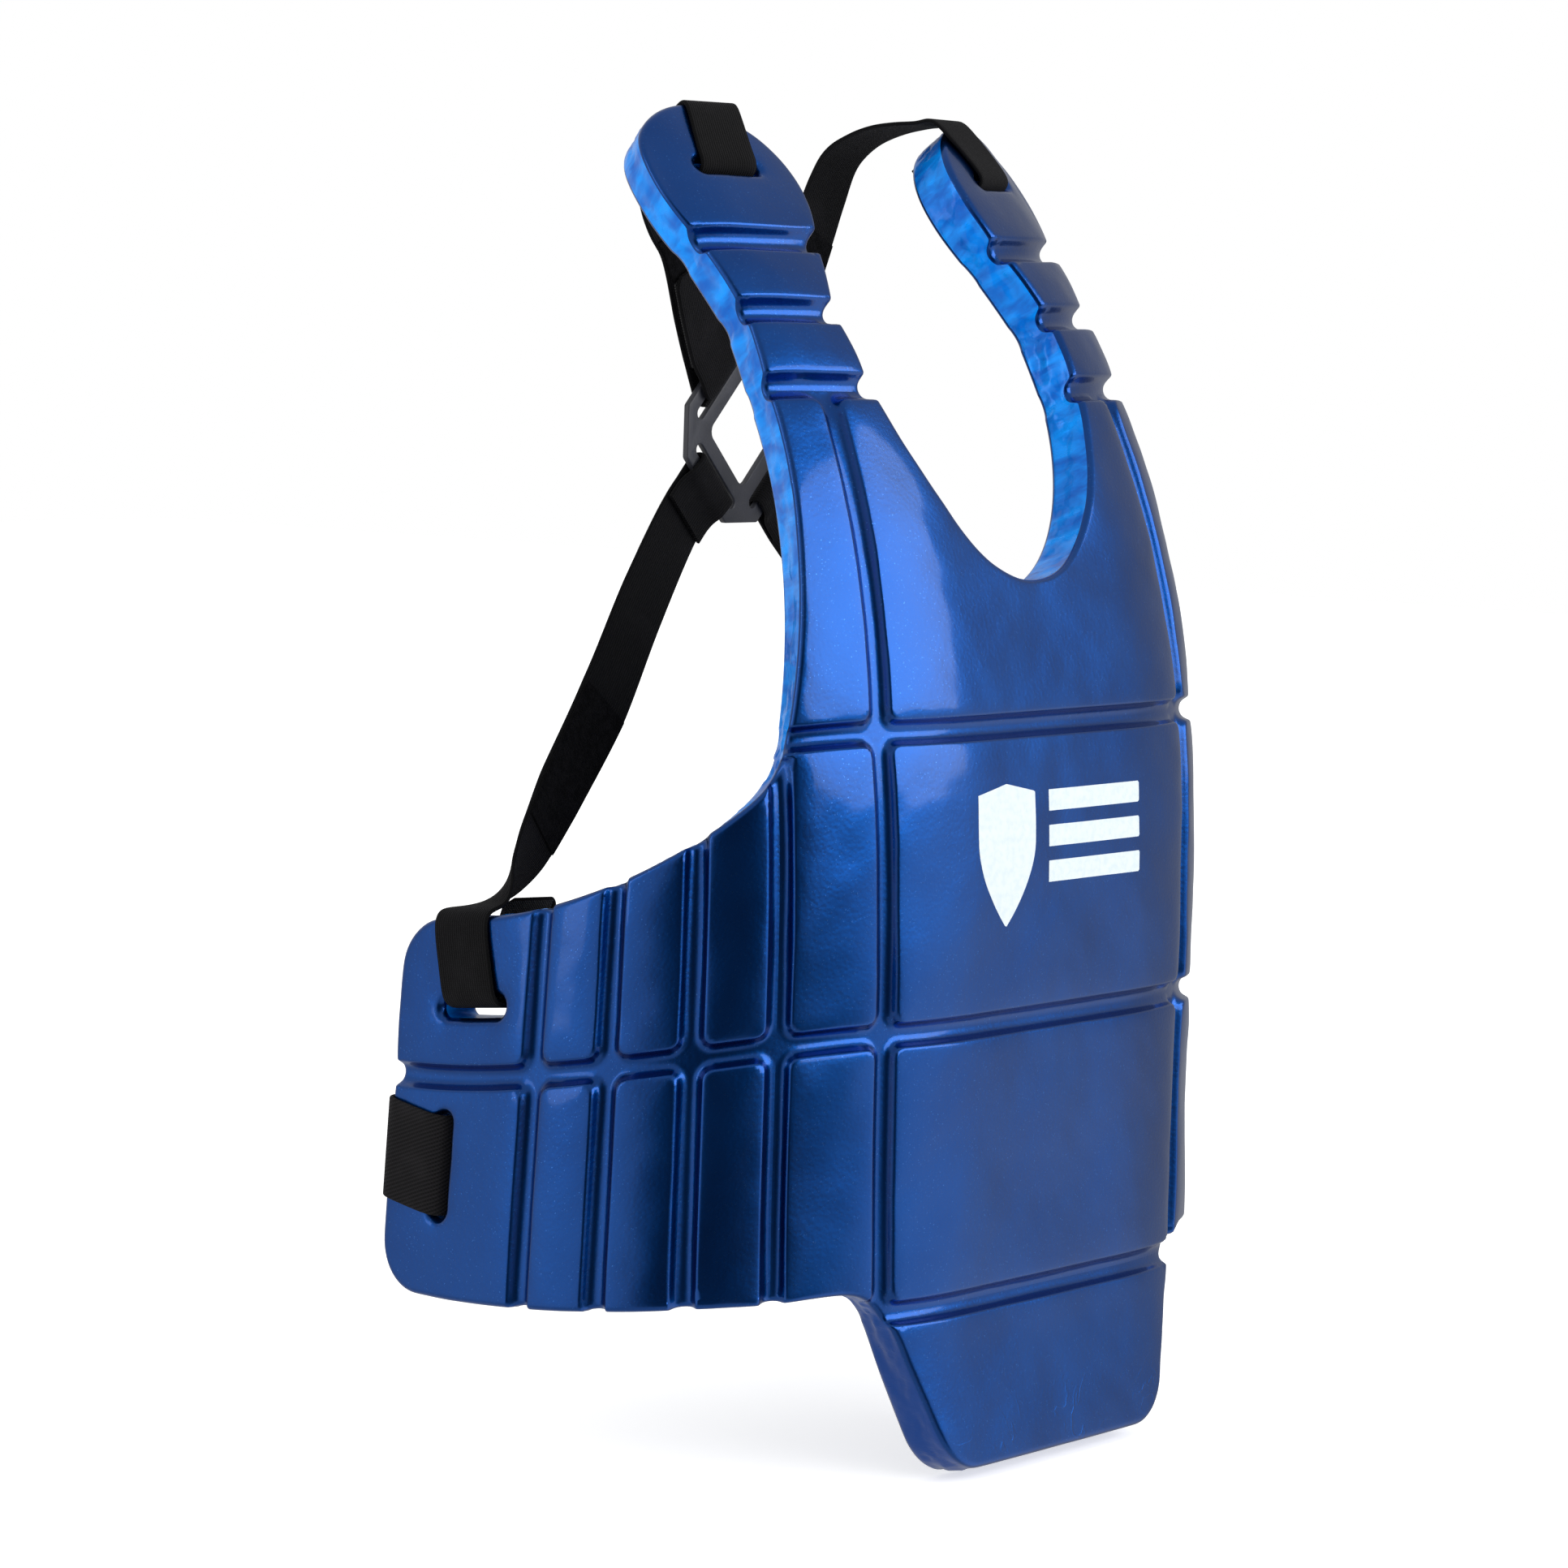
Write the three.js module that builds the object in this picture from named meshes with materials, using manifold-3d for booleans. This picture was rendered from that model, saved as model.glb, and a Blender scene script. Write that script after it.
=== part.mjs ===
// Chest protector for martial arts: a moulded foam guard with wrap-round side wings, raised pads
// parted by flex grooves, a hip flap, two shoulder tabs, a slotted back plate, and elastic straps
// that close with hook-and-loop. Millimetres, +Z up, front towards -Y, wearer's right towards -X.
//
// The guard is drawn as a flat pattern and then bent. A pattern point has three coordinates:
// u runs round the chest from the centre front, v runs up from the groove above the hip flap,
// and w is the height above the outer face, so the foam lies between w = 0 and w = -FOAM.
import * as THREE from 'three';
import { mergeVertices } from 'three/addons/utils/BufferGeometryUtils.js';
import Module from 'manifold-3d';

const wasm = await Module();
wasm.setup();

// ---- driving dimensions ---------------------------------------------------------------------
const FOAM = 22;                       // foam thickness
const GROOVE_DEPTH = 7;
const GROOVE_FLOOR = 2.6;              // half width of a groove at its floor
const GROOVE_MOUTH = 5.2;              // half width of a groove at its mouth
const FLEX_GAP = 1.8;                  // half of the gap that parts two segments at a flex groove
const HIP_GROOVE = 0;                  // heights of the level grooves, along the pattern
const WAIST_GROOVE = 115;
const CHEST_GROOVE = 239;
const SHOULDER_GROOVES = [386, 421, 456];
const TAB_TOP = 527;
const PANEL_SEAM = [[0, 110], [239, 114], [386, 104]];   // upright groove beside the centre panel
const WING_GROOVES = [161, 197, 233, 269];
const REAR_EDGE = 348;
const NECK_BOTTOM = 300;
const NECK_HALF = 77;                  // half width of the neckline where the straps begin
const STRAP_OUTER = 132;               // outer edge of the shoulder strap at its root
const HIP_TOP_HALF = 107;
const HIP_BOTTOM_HALF = 77;
const HIP_BOTTOM = -69;
const WEBBING = 30;                    // width of the shoulder and side elastics
const WAIST_WEBBING = 42;
const WEB_THICK = 1.8;
const PATCH_THICK = 1.2;
const CLEAR = 0.5;                     // gap kept between touching pieces
const TAB_SLOT = { u: 98, v: 492, wide: 36, high: 8 };
const SIDE_SLOT = { u: 304, v: 144, wide: 38, high: 8 };
const WAIST_SLOT = { u: 317, v: 78, wide: 8, high: 48 };
const PLATE = { y: 176, z: 354, half: 40, thick: 3, slotOffset: 27.6, slotLength: 38, slotWide: 5 };
const CENTRE = new THREE.Vector3(0, 110, 230);   // middle of the wearer's torso, the part's origin

// ---- materials ------------------------------------------------------------------------------
const foamBlue = () => new THREE.MeshStandardMaterial({ color: 0x1f4fa8, roughness: 0.35, metalness: 0.5 });
const webBlack = () => new THREE.MeshStandardMaterial({ color: 0x17171a, roughness: 0.95, metalness: 0 });
const loopBlack = () => new THREE.MeshStandardMaterial({ color: 0x0b0b0c, roughness: 1, metalness: 0 });
const hookBlack = () => new THREE.MeshStandardMaterial({ color: 0x121214, roughness: 0.85, metalness: 0 });
const plateGrey = () => new THREE.MeshStandardMaterial({ color: 0x24252c, roughness: 0.6, metalness: 0 });

// ---- the bend that turns the pattern into the guard -----------------------------------------
const radians = THREE.MathUtils.degToRad;
const ramp = (from, to, x) => THREE.MathUtils.smoothstep((x - from) / (to - from), 0, 1);
const mix = THREE.MathUtils.lerp;
const heading = (u) => radians(95) * ramp(40, 300, Math.abs(u));           // turn round the ribs
const lean = (v) => radians(42) * ramp(120, 560, v) + radians(8) * ramp(-80, 100, -v) + radians(15) * ramp(0, 30, -v);

// Adds up cosines and sines of an angle along a line, so that a length along it is kept.
function runningSum(angle, from, to) {
  const sums = [[0, 0]];
  for (let at = from; at < to; at += 1) {
    const turn = angle(at + 0.5);
    const [alongCos, alongSin] = sums[sums.length - 1];
    sums.push([alongCos + Math.cos(turn), alongSin + Math.sin(turn)]);
  }
  return (x) => {
    const steps = THREE.MathUtils.clamp(x - from, 0, to - from - 0.001);
    const low = Math.floor(steps);
    return [0, 1].map((i) => mix(sums[low][i], sums[low + 1][i], steps - low));
  };
}
const planSum = runningSum(heading, 0, 420);
const profileSum = runningSum(lean, -140, 640);
const profileZero = profileSum(0);

// The point of the guard at pattern coordinates u, v, w.
function bend(u, v, w) {
  const out = Math.abs(u);
  const side = Math.sign(u);
  const [across, back] = planSum(out);
  const [rise, leanBack] = profileSum(v).map((value, i) => value - profileZero[i]);
  const onWing = ramp(130, 240, out);
  const flare = 0.06 * (165 - v) * onWing;
  const droop = 30 * ramp(110, 350, out);
  const turn = heading(out);
  const tilt = lean(v);
  const normal = new THREE.Vector3(
    side * Math.sin(turn) * Math.cos(tilt), -Math.cos(turn) * Math.cos(tilt), Math.cos(turn) * Math.sin(tilt));
  normal.normalize().multiplyScalar(w);
  return new THREE.Vector3(
    side * (across + Math.sin(turn) * flare),
    back - Math.cos(turn) * flare + leanBack * (1 - onWing),
    rise * (1 - onWing) + v * onWing - droop).add(normal).sub(CENTRE);
}

// ---- solids ---------------------------------------------------------------------------------
// A closed mesh between two faces, each given as a grid of points in columns and rows.
function sheetSolid(top, bottom) {
  const nc = top.length;
  const nr = top[0].length;
  const positions = [];
  [top, bottom].forEach((face) => face.forEach((line) => line.forEach((p) => positions.push(p.x, p.y, p.z))));
  const at = (layer, c, r) => layer * nc * nr + c * nr + r;
  const faces = [];
  const quad = (a, b, c, d) => faces.push(a, b, c, a, c, d);
  for (let c = 0; c < nc - 1; c++) {
    for (let r = 0; r < nr - 1; r++) {
      quad(at(0, c, r), at(0, c + 1, r), at(0, c + 1, r + 1), at(0, c, r + 1));
      quad(at(1, c, r), at(1, c, r + 1), at(1, c + 1, r + 1), at(1, c + 1, r));
    }
    quad(at(0, c, 0), at(1, c, 0), at(1, c + 1, 0), at(0, c + 1, 0));
    quad(at(0, c + 1, nr - 1), at(1, c + 1, nr - 1), at(1, c, nr - 1), at(0, c, nr - 1));
  }
  for (let r = 0; r < nr - 1; r++) {
    quad(at(0, 0, r + 1), at(1, 0, r + 1), at(1, 0, r), at(0, 0, r));
    quad(at(0, nc - 1, r), at(1, nc - 1, r), at(1, nc - 1, r + 1), at(0, nc - 1, r + 1));
  }
  return closedMesh(positions, faces);
}

// Welds equal points, drops collapsed triangles and turns the faces outwards.
function closedMesh(positions, faces) {
  const raw = new THREE.BufferGeometry();
  raw.setAttribute('position', new THREE.Float32BufferAttribute(positions, 3));
  raw.setIndex(faces);
  const welded = mergeVertices(raw, 0.002);
  const index = Array.from(welded.index.array);
  const spots = welded.attributes.position;
  const kept = [];
  let volume = 0;
  for (let i = 0; i < index.length; i += 3) {
    const [a, b, c] = index.slice(i, i + 3);
    if (a !== b && b !== c && a !== c) {
      kept.push(a, b, c);
      const corners = [a, b, c].map((n) => new THREE.Vector3().fromBufferAttribute(spots, n));
      volume += corners[0].dot(corners[1].clone().cross(corners[2]));
    }
  }
  welded.setIndex(volume > 0 ? kept : kept.reverse());
  return welded;
}

// A foam segment: every grid crossing comes from place(column, row) as pattern [u, v].
function foamSegment(side, columns, rows, place) {
  const faces = [false, true].map((under) => columns.map((column) => rows.map((row) => {
    const [u, v] = place(column, row);
    return bend(side * u, v, under ? -FOAM : -grooveDepth(u, v));
  })));
  return sheetSolid(faces[0], faces[1]);
}

// Depth below the outer face at a distance from a groove's middle line.
function channel(distance) {
  return GROOVE_DEPTH * (1 - THREE.MathUtils.clamp(
    (Math.abs(distance) - GROOVE_FLOOR) / (GROOVE_MOUTH - GROOVE_FLOOR), 0, 1));
}

function panelSeam(v) {
  const [low, middle, high] = PANEL_SEAM;
  const [a, b] = v < middle[0] ? [low, middle] : [middle, high];
  return mix(a[1], b[1], (v - a[0]) / (b[0] - a[0]));
}

function grooveDepth(u, v) {
  const across = Math.abs(u);
  const level = [HIP_GROOVE, WAIST_GROOVE, ...SHOULDER_GROOVES].map((line) => channel(v - line));
  const chest = across < 175 ? channel(v - CHEST_GROOVE) : 0;
  const seam = v > HIP_GROOVE && v < SHOULDER_GROOVES[0] ? channel(across - panelSeam(v)) : 0;
  const wing = v < 226 ? WING_GROOVES.map((line) => channel(across - line)) : [0];
  return Math.max(...level, chest, seam, ...wing);
}

function toSolid(geometry) {
  const plain = geometry.clone();
  plain.deleteAttribute('normal');
  plain.deleteAttribute('uv');
  const welded = mergeVertices(plain, 0.0005);
  return new wasm.Manifold(new wasm.Mesh({
    numProp: 3,
    vertProperties: new Float32Array(welded.attributes.position.array),
    triVerts: new Uint32Array(welded.index.array),
  }));
}

function fromSolid(solid) {
  const mesh = solid.getMesh();
  const geometry = new THREE.BufferGeometry();
  geometry.setAttribute('position', new THREE.BufferAttribute(new Float32Array(mesh.vertProperties), 3));
  geometry.setIndex(Array.from(mesh.triVerts));
  return geometry;
}

// Cuts a round-ended slot straight through the foam.
function cutSlot(geometry, side, slot) {
  const round = Math.min(slot.wide, slot.high) / 2 - 0.2;
  const upright = slot.high > slot.wide;
  const along = upright ? slot.high / 2 : slot.wide / 2;
  const half = upright ? slot.wide / 2 : slot.high / 2;
  const steps = [0, 0.3, 0.7, 1].map((f) => f * round);
  const lines = [...steps.map((s) => s - along), 0, ...steps.map((s) => along - s).reverse()];
  const place = (line, across) => {
    const inEnd = Math.max(0, Math.abs(line) - (along - round));
    const reach = half - round + Math.sqrt(Math.max(0, round * round - inEnd * inEnd));
    const shift = across * Math.max(reach, 0.2);
    return upright ? [slot.u + shift, slot.v + line] : [slot.u + line, slot.v + shift];
  };
  const faces = [6, -FOAM - 6].map((w) => lines.map((line) => [-1, 0, 1].map((across) => {
    const [u, v] = place(line, across);
    return bend(side * u, v, w);
  })));
  return fromSolid(toSolid(geometry).subtract(toSolid(sheetSolid(faces[0], faces[1]))));
}

// A strap along stations of two edge points each, given a thickness.
function ribbon(stations, thickness) {
  const middle = stations.map(([a, b]) => a.clone().add(b).multiplyScalar(0.5));
  const faces = [0.5, -0.5].map((half) => stations.map(([a, b], i) => {
    const before = middle[Math.max(i - 1, 0)];
    const after = middle[Math.min(i + 1, middle.length - 1)];
    const normal = after.clone().sub(before).cross(b.clone().sub(a)).normalize();
    return [a, b].map((p) => p.clone().addScaledVector(normal, half * thickness));
  }));
  return sheetSolid(faces[0], faces[1]);
}

// Stations of a strap that lies on the guard, from [v, w] or [u, w] pairs along its route, each
// with an optional shift across it.
function uprightStations(side, u, width, route) {
  return route.map(([v, w, shift = 0]) => [-0.5, 0.5].map((half) => bend(side * (u + shift + half * width), v, w)));
}
function levelStations(side, v, width, route) {
  return route.map(([u, w, shift = 0]) => [-0.5, 0.5].map((half) => bend(side * u, v + shift + half * width, w)));
}

// Stations of a free strap: points and width directions, smoothed along a Catmull-Rom curve.
function freeStations(side, width, knots, steps) {
  const curve = new THREE.CatmullRomCurve3(knots.map(({ at }) => new THREE.Vector3(...at)), false, 'centripetal');
  const stations = [];
  for (let i = 0; i <= steps; i++) {
    const t = i / steps;
    const span = Math.min(Math.floor(t * (knots.length - 1)), knots.length - 2);
    const from = new THREE.Vector3(...knots[span].across);
    const to = new THREE.Vector3(...knots[span + 1].across);
    const across = from.lerp(to, t * (knots.length - 1) - span).normalize();
    const p = curve.getPoint(t);
    stations.push([-0.5, 0.5].map((half) => {
      const edge = p.clone().addScaledVector(across, half * width);
      return new THREE.Vector3(side * edge.x, edge.y, edge.z).sub(CENTRE);
    }));
  }
  return stations;
}

// ---- the model ------------------------------------------------------------------------------
const guard = new THREE.Group();
guard.name = 'chest_protector';
function add(name, geometry, material) {
  const mesh = new THREE.Mesh(geometry, material);
  mesh.name = name;
  guard.add(mesh);
}

// Rows or columns across a pad that ends in a flex gap or a groove at each end.
const grooveEnd = [FLEX_GAP, GROOVE_FLOOR, GROOVE_MOUTH];
const acrossGroove = [-GROOVE_MOUTH, -GROOVE_FLOOR, GROOVE_FLOOR, GROOVE_MOUTH];

function neckline(u) {
  const reach = Math.min(Math.abs(u) / NECK_HALF, 1);
  const top = SHOULDER_GROOVES[0] - FLEX_GAP;
  return top - (top - NECK_BOTTOM) * (1 - reach ** 2.2) ** 0.8;
}
function armholeEdge(v) {
  const flexEdge = WING_GROOVES[0] - FLEX_GAP;
  const up = THREE.MathUtils.clamp((SHOULDER_GROOVES[0] - v) / 163, 0, 1);
  return Math.min(flexEdge, STRAP_OUTER + 29 * up ** 1.5);
}
function lowerEdge(u) {
  const past = Math.abs(u) - HIP_TOP_HALF;
  return Math.abs(u) < WING_GROOVES[0] ? mix(FLEX_GAP, 10, ramp(0, 12, past)) : 10 + 0.085 * (u - WING_GROOVES[0]);
}
function wingTop(u) {
  return 181 + 42 * ((REAR_EDGE - u) / (REAR_EDGE - WING_GROOVES[0])) ** 3;
}

// Front panel: centre panel, the pad beside it on each side, the neckline and both armholes.
function chestPanel() {
  const halfColumns = [
    ...[24, 44, 59, 69, 75, 77].map((u) => () => u),
    ...acrossGroove.map((offset) => (v) => panelSeam(v) + offset),
    (v) => mix(panelSeam(v) + GROOVE_MOUTH, armholeEdge(v) - 4, 0.5),
    ...[3.4, 0.8, 0].map((inset) => (v) => armholeEdge(v) - inset),
  ];
  const columns = [
    ...halfColumns.map((column) => (v) => -column(v)).reverse(), () => 0, ...halfColumns];
  const top = SHOULDER_GROOVES[0];
  const rows = [
    ...grooveEnd, 12, 45, 80, ...acrossGroove.map((d) => WAIST_GROOVE + d), 150, 180, 208, 223,
    ...acrossGroove.map((d) => CHEST_GROOVE + d), 260, 280, 300, 316, 332, 348, 362, 374,
    ...grooveEnd.map((d) => top - d).reverse()];
  return foamSegment(1, columns, rows, (column, row) => {
    const u = column(row);
    const high = Math.abs(u) < NECK_HALF ? neckline(u) : top - FLEX_GAP;
    return [u, THREE.MathUtils.clamp(row, lowerEdge(u), high)];
  });
}
add('front_panel', chestPanel(), foamBlue());

// Hip flap below the lowest groove.
function hipFlap() {
  const columns = [-1, -0.96, -0.85, -0.6, -0.3, 0, 0.3, 0.6, 0.85, 0.96, 1];
  const rows = [...grooveEnd.map((d) => -d), -20, -36, -53, -61, -66, -68.2, HIP_BOTTOM];
  return foamSegment(1, columns, rows, (column, v) => {
    const corner = Math.max(0, HIP_BOTTOM + 16 - v) / 16;
    const half = mix(HIP_TOP_HALF, HIP_BOTTOM_HALF, -v / -HIP_BOTTOM) - 16 * (1 - Math.sqrt(1 - corner * corner));
    return [column * half, v];
  });
}
add('hip_flap', hipFlap(), foamBlue());

// Side wings: three narrow strips and a rear panel that carries the strap slots.
const wingRows = [0, 0.03, 0.35, 0.7, ...acrossGroove, 1.2, 1.5, 1.85, 1.97, 2];
function wingPoint(u, row, index) {
  const low = lowerEdge(u);
  const high = wingTop(u);
  if (index > 3 && index < 8) {
    return WAIST_GROOVE + row;
  }
  const below = WAIST_GROOVE - GROOVE_MOUTH;
  const above = WAIST_GROOVE + GROOVE_MOUTH;
  return row < 1 ? mix(low, below, row) : mix(above, high, row - 1);
}
function wingStrip(side, from, to) {
  const columns = [...grooveEnd.map((d) => from + d), mix(from, to, 0.5), ...grooveEnd.map((d) => to - d).reverse()];
  return foamSegment(side, columns, wingRows.map((row, index) => [row, index]),
    (u, [row, index]) => [u, wingPoint(u, row, index)]);
}
function rearPanel(side) {
  const corner = 22;
  const start = WING_GROOVES[3];
  const columns = [
    ...grooveEnd.map((d) => start + d), 285, 300, 315, REAR_EDGE - corner, 333, 339, 344, 347, REAR_EDGE];
  const body = foamSegment(side, columns, wingRows.map((row, index) => [row, index]), (u, [row, index]) => {
    const past = Math.max(0, u - (REAR_EDGE - corner));
    const drop = corner - Math.sqrt(corner * corner - past * past);
    const v = wingPoint(u, row, index);
    return [u, THREE.MathUtils.clamp(v, lowerEdge(u) + drop, wingTop(u) - drop)];
  });
  return cutSlot(cutSlot(body, side, SIDE_SLOT), side, WAIST_SLOT);
}

// Shoulder straps: two links and the tab at the end, whose slot takes the shoulder elastic.
function strapEdges(v) {
  const [root, middle, end] = SHOULDER_GROOVES;
  if (v <= middle) {
    const f = (v - root) / (middle - root);
    return [mix(NECK_HALF, 80, f), mix(STRAP_OUTER, 128, f)];
  }
  const f = (v - middle) / (end - middle);
  return [mix(80, 68, f), mix(128, 133, f)];
}
function shoulderLink(side, low, high) {
  const columns = [0, 0.04, 0.3, 0.7, 0.96, 1];
  const rows = [...grooveEnd.map((d) => low + d), (low + high) / 2, ...grooveEnd.map((d) => high - d).reverse()];
  return foamSegment(side, columns, rows, (column, v) => {
    const [inner, outer] = strapEdges(v);
    return [mix(inner, outer, column), v];
  });
}
function tabHalf(v) {
  const start = SHOULDER_GROOVES[2];
  const widest = 484;
  const rise = (v - widest) / (TAB_TOP - widest);
  return v < widest
    ? mix(32.5, 40, Math.sin((v - start) / (widest - start) * Math.PI / 2))
    : 40 * (1 - Math.max(rise, 0) ** 2.3) ** 0.6;
}
function shoulderTab(side) {
  const start = SHOULDER_GROOVES[2];
  const columns = [-1, -0.94, -0.75, -0.5, -0.25, 0, 0.25, 0.5, 0.75, 0.94, 1];
  const rows = [
    ...grooveEnd.map((d) => start + d), 470, 484, 496, 507, 515, 520.5, 524, 526, TAB_TOP - 0.2];
  const body = foamSegment(side, columns, rows, (column, v) => [100 + column * tabHalf(v), v]);
  return cutSlot(body, side, TAB_SLOT);
}

for (const [name, side] of [['right', -1], ['left', 1]]) {
  WING_GROOVES.slice(0, 3).forEach((groove, i) => {
    add(`${name}_wing_strip_${i + 1}`, wingStrip(side, groove, WING_GROOVES[i + 1]), foamBlue());
  });
  add(`${name}_rear_panel`, rearPanel(side), foamBlue());
  add(`${name}_shoulder_link_1`, shoulderLink(side, SHOULDER_GROOVES[0], SHOULDER_GROOVES[1]), foamBlue());
  add(`${name}_shoulder_link_2`, shoulderLink(side, SHOULDER_GROOVES[1], SHOULDER_GROOVES[2]), foamBlue());
  add(`${name}_shoulder_tab`, shoulderTab(side), foamBlue());
}

// Back plate: a square stood on its corner with the corners cut off, a slot along each side for
// the elastics, and an open middle.
function backPlate() {
  const { half, thick, slotOffset, slotLength, slotWide } = PLATE;
  const cut = 11.5;
  const outline = new THREE.Shape();
  const corners = [[half, cut], [cut, half], [-cut, half], [-half, cut], [-half, -cut], [-cut, -half],
    [cut, -half], [half, -cut]];
  outline.setFromPoints(corners.map(([x, y]) => new THREE.Vector2(x, y)));
  const window = new THREE.Path();
  const reach = 25;
  const round = 5;
  for (let k = 0; k < 4; k++) {
    const middle = k * Math.PI / 2;
    const cx = (reach - round * Math.SQRT2) * Math.cos(middle);
    const cy = (reach - round * Math.SQRT2) * Math.sin(middle);
    window.absarc(cx, cy, round, middle - Math.PI / 4, middle + Math.PI / 4, false);
  }
  window.closePath();
  outline.holes.push(window);
  for (let k = 0; k < 4; k++) {
    const angle = Math.PI / 4 + k * Math.PI / 2;
    const out = new THREE.Vector2(Math.cos(angle), Math.sin(angle));
    const along = new THREE.Vector2(-out.y, out.x);
    const r = slotWide / 2;
    const slot = new THREE.Path();
    for (const end of [1, -1]) {
      const c = out.clone().multiplyScalar(slotOffset).addScaledVector(along, end * (slotLength / 2 - r));
      const start = angle + (end > 0 ? 0 : Math.PI);
      slot.absarc(c.x, c.y, r, start, start + Math.PI, false);
    }
    slot.closePath();
    outline.holes.push(slot);
  }
  const plate = new THREE.ExtrudeGeometry(outline, { depth: thick, bevelEnabled: false, curveSegments: 6 });
  plate.rotateX(Math.PI / 2);
  plate.translate(0, PLATE.y + thick - CENTRE.y, PLATE.z - CENTRE.z);
  return fromSolid(toSolid(plate));
}
add('back_plate', backPlate(), plateGrey());

// ---- straps ---------------------------------------------------------------------------------
// The layers of a closing, from the strap's middle: loop patch, hook patch, then the folded end.
const LOOP_LAYER = WEB_THICK / 2 + CLEAR + PATCH_THICK / 2;
const HOOK_LAYER = LOOP_LAYER + PATCH_THICK + CLEAR;
const END_LAYER = HOOK_LAYER + PATCH_THICK / 2 + CLEAR + WEB_THICK / 2;

// Part of a strap's stations moved off its face, on the side that faces the given direction.
function layer(stations, from, to, offset, facing, narrow = 1) {
  const picked = [];
  for (let i = from; i !== to + Math.sign(to - from); i += Math.sign(to - from)) {
    const [a, b] = stations[i];
    const before = stations[Math.max(i - 1, 0)];
    const after = stations[Math.min(i + 1, stations.length - 1)];
    const along = after[0].clone().add(after[1]).sub(before[0]).sub(before[1]);
    const normal = along.cross(b.clone().sub(a)).normalize();
    normal.multiplyScalar(offset * Math.sign(normal.dot(facing)));
    const middle = a.clone().add(b).multiplyScalar(0.5);
    picked.push([a, b].map((p) => p.clone().lerp(middle, 1 - narrow).add(normal)));
  }
  return picked;
}
const inwards = new THREE.Vector3(0, -1, 0);

// Points beside one plate slot: a distance out from the plate's middle and a depth behind its
// front face, with an optional slide along the slot; up is 1 for an upper slot and -1 for a lower one.
function plateKnots(up, spots) {
  return spots.map(([out, depth, slide = 0]) => ({
    at: [(out - slide) * Math.SQRT1_2, PLATE.y + depth, PLATE.z + up * (out + slide) * Math.SQRT1_2],
    across: [Math.SQRT1_2, 0, -up * Math.SQRT1_2],
  }));
}

// Shoulder elastic: a sewn loop round the tab, the span to the plate, and the end that is turned
// back through the plate's slot and closes on the span.
const TOP_TURN = TAB_TOP + 2.6;
const tabLoopRoute = [
  [519, -25.2], [501, -25.2], [496.4, -24.9], [492.8, -22.6], [491.8, -17], [491.8, -4], [493, 0.4],
  [495, 2, -0.4], [499, 2.2, -1.6], [512, 2.2, -6], [521, 2.2, -9.4], [526, 2.2, -11.3], [TOP_TURN - 1, 1, -12],
  [TOP_TURN, -1.2, -12.5], [TOP_TURN + 0.2, -4.4, -13]];
const shoulderPlateKnots = [
  { at: [45.5, 178.5, 434], across: [1, 0, -0.5] },
  { at: [34.5, 179.6, 409], across: [1, 0, -0.62] },
  ...plateKnots(1, [[45, 4.6, 7.8], [39, 4.6, 5.6], [33, 4.7, 3.6], [30.6, 4.75, 2.8], [28.9, 4.1, 2.3],
    [28.3, 2.6, 2.1], [28.1, 1.2, 2], [28.25, -0.7, 2]]),
];
const shoulderTurnKnots = plateKnots(1, [
  [28.6, -1.35, 2], [29.5, -2.2, 2.4], [31, -2.4, 2.8], [34, -2, 4], [38, -1.6, 5.4], [42, -1, 6.8]]);
// The wearer's right elastic lies down over the tab's top edge and the left one stands off it in an arch.
const shoulderRoutes = {
  right: {
    start: [[TOP_TURN + 0.3, -5.2, -13.2], [TOP_TURN + 0.5, -9, -13.6], [TOP_TURN + 0.6, -14, -14],
      [TOP_TURN + 0.2, -19, -14.4]],
    knots: [
      { at: [81, 160.5, 475], across: [1, 0.02, 0] },
      { at: [75.5, 168, 464], across: [1, 0.04, -0.2] },
      { at: [66, 174, 453.5], across: [1, 0.02, -0.4] },
      { at: [56.5, 177, 444], across: [1, 0, -0.5] },
      ...shoulderPlateKnots],
  },
  left: {
    start: [[TOP_TURN + 0.3, -5.2, -13.2], [TOP_TURN + 0.8, -8, -13.6]],
    knots: [
      { at: [82.5, 149, 491], across: [1, 0.02, 0] },
      { at: [78, 160, 488.6], across: [1, 0.06, -0.04] },
      { at: [72.5, 170, 483.5], across: [1, 0.12, -0.08] },
      { at: [67.5, 177.4, 475.5], across: [1, 0.12, -0.2] },
      { at: [61, 180, 461], across: [1, 0.04, -0.38] },
      { at: [53, 179.6, 446.5], across: [1, 0, -0.46] },
      ...shoulderPlateKnots],
  },
};

function shoulderStrap(name, side) {
  const loop = uprightStations(side, TAB_SLOT.u, WEBBING, tabLoopRoute);
  add(`${name}_shoulder_strap_loop`, ribbon(loop, WEB_THICK), webBlack());
  const { start, knots } = shoulderRoutes[name];
  const free = freeStations(side, WEBBING, knots, 3 * (knots.length - 1));
  const span = [...uprightStations(side, TAB_SLOT.u, WEBBING, start), ...free];
  add(`${name}_shoulder_strap`, ribbon(span, WEB_THICK), webBlack());
  const turn = freeStations(side, WEBBING, shoulderTurnKnots, 10);
  const root = 3 * (knots.length - 8);
  const end = [...turn, ...layer(free, root, root - 5, END_LAYER, inwards)];
  add(`${name}_shoulder_strap_end`, ribbon(end, WEB_THICK), webBlack());
  const loopPatch = layer(free, root, root - 8, LOOP_LAYER, inwards, 0.94);
  add(`${name}_shoulder_loop_patch`, ribbon(loopPatch, PATCH_THICK), loopBlack());
  const hookPatch = layer(free, root, root - 5, HOOK_LAYER, inwards, 0.94);
  add(`${name}_shoulder_hook_patch`, ribbon(hookPatch, PATCH_THICK), hookBlack());
}

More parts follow.
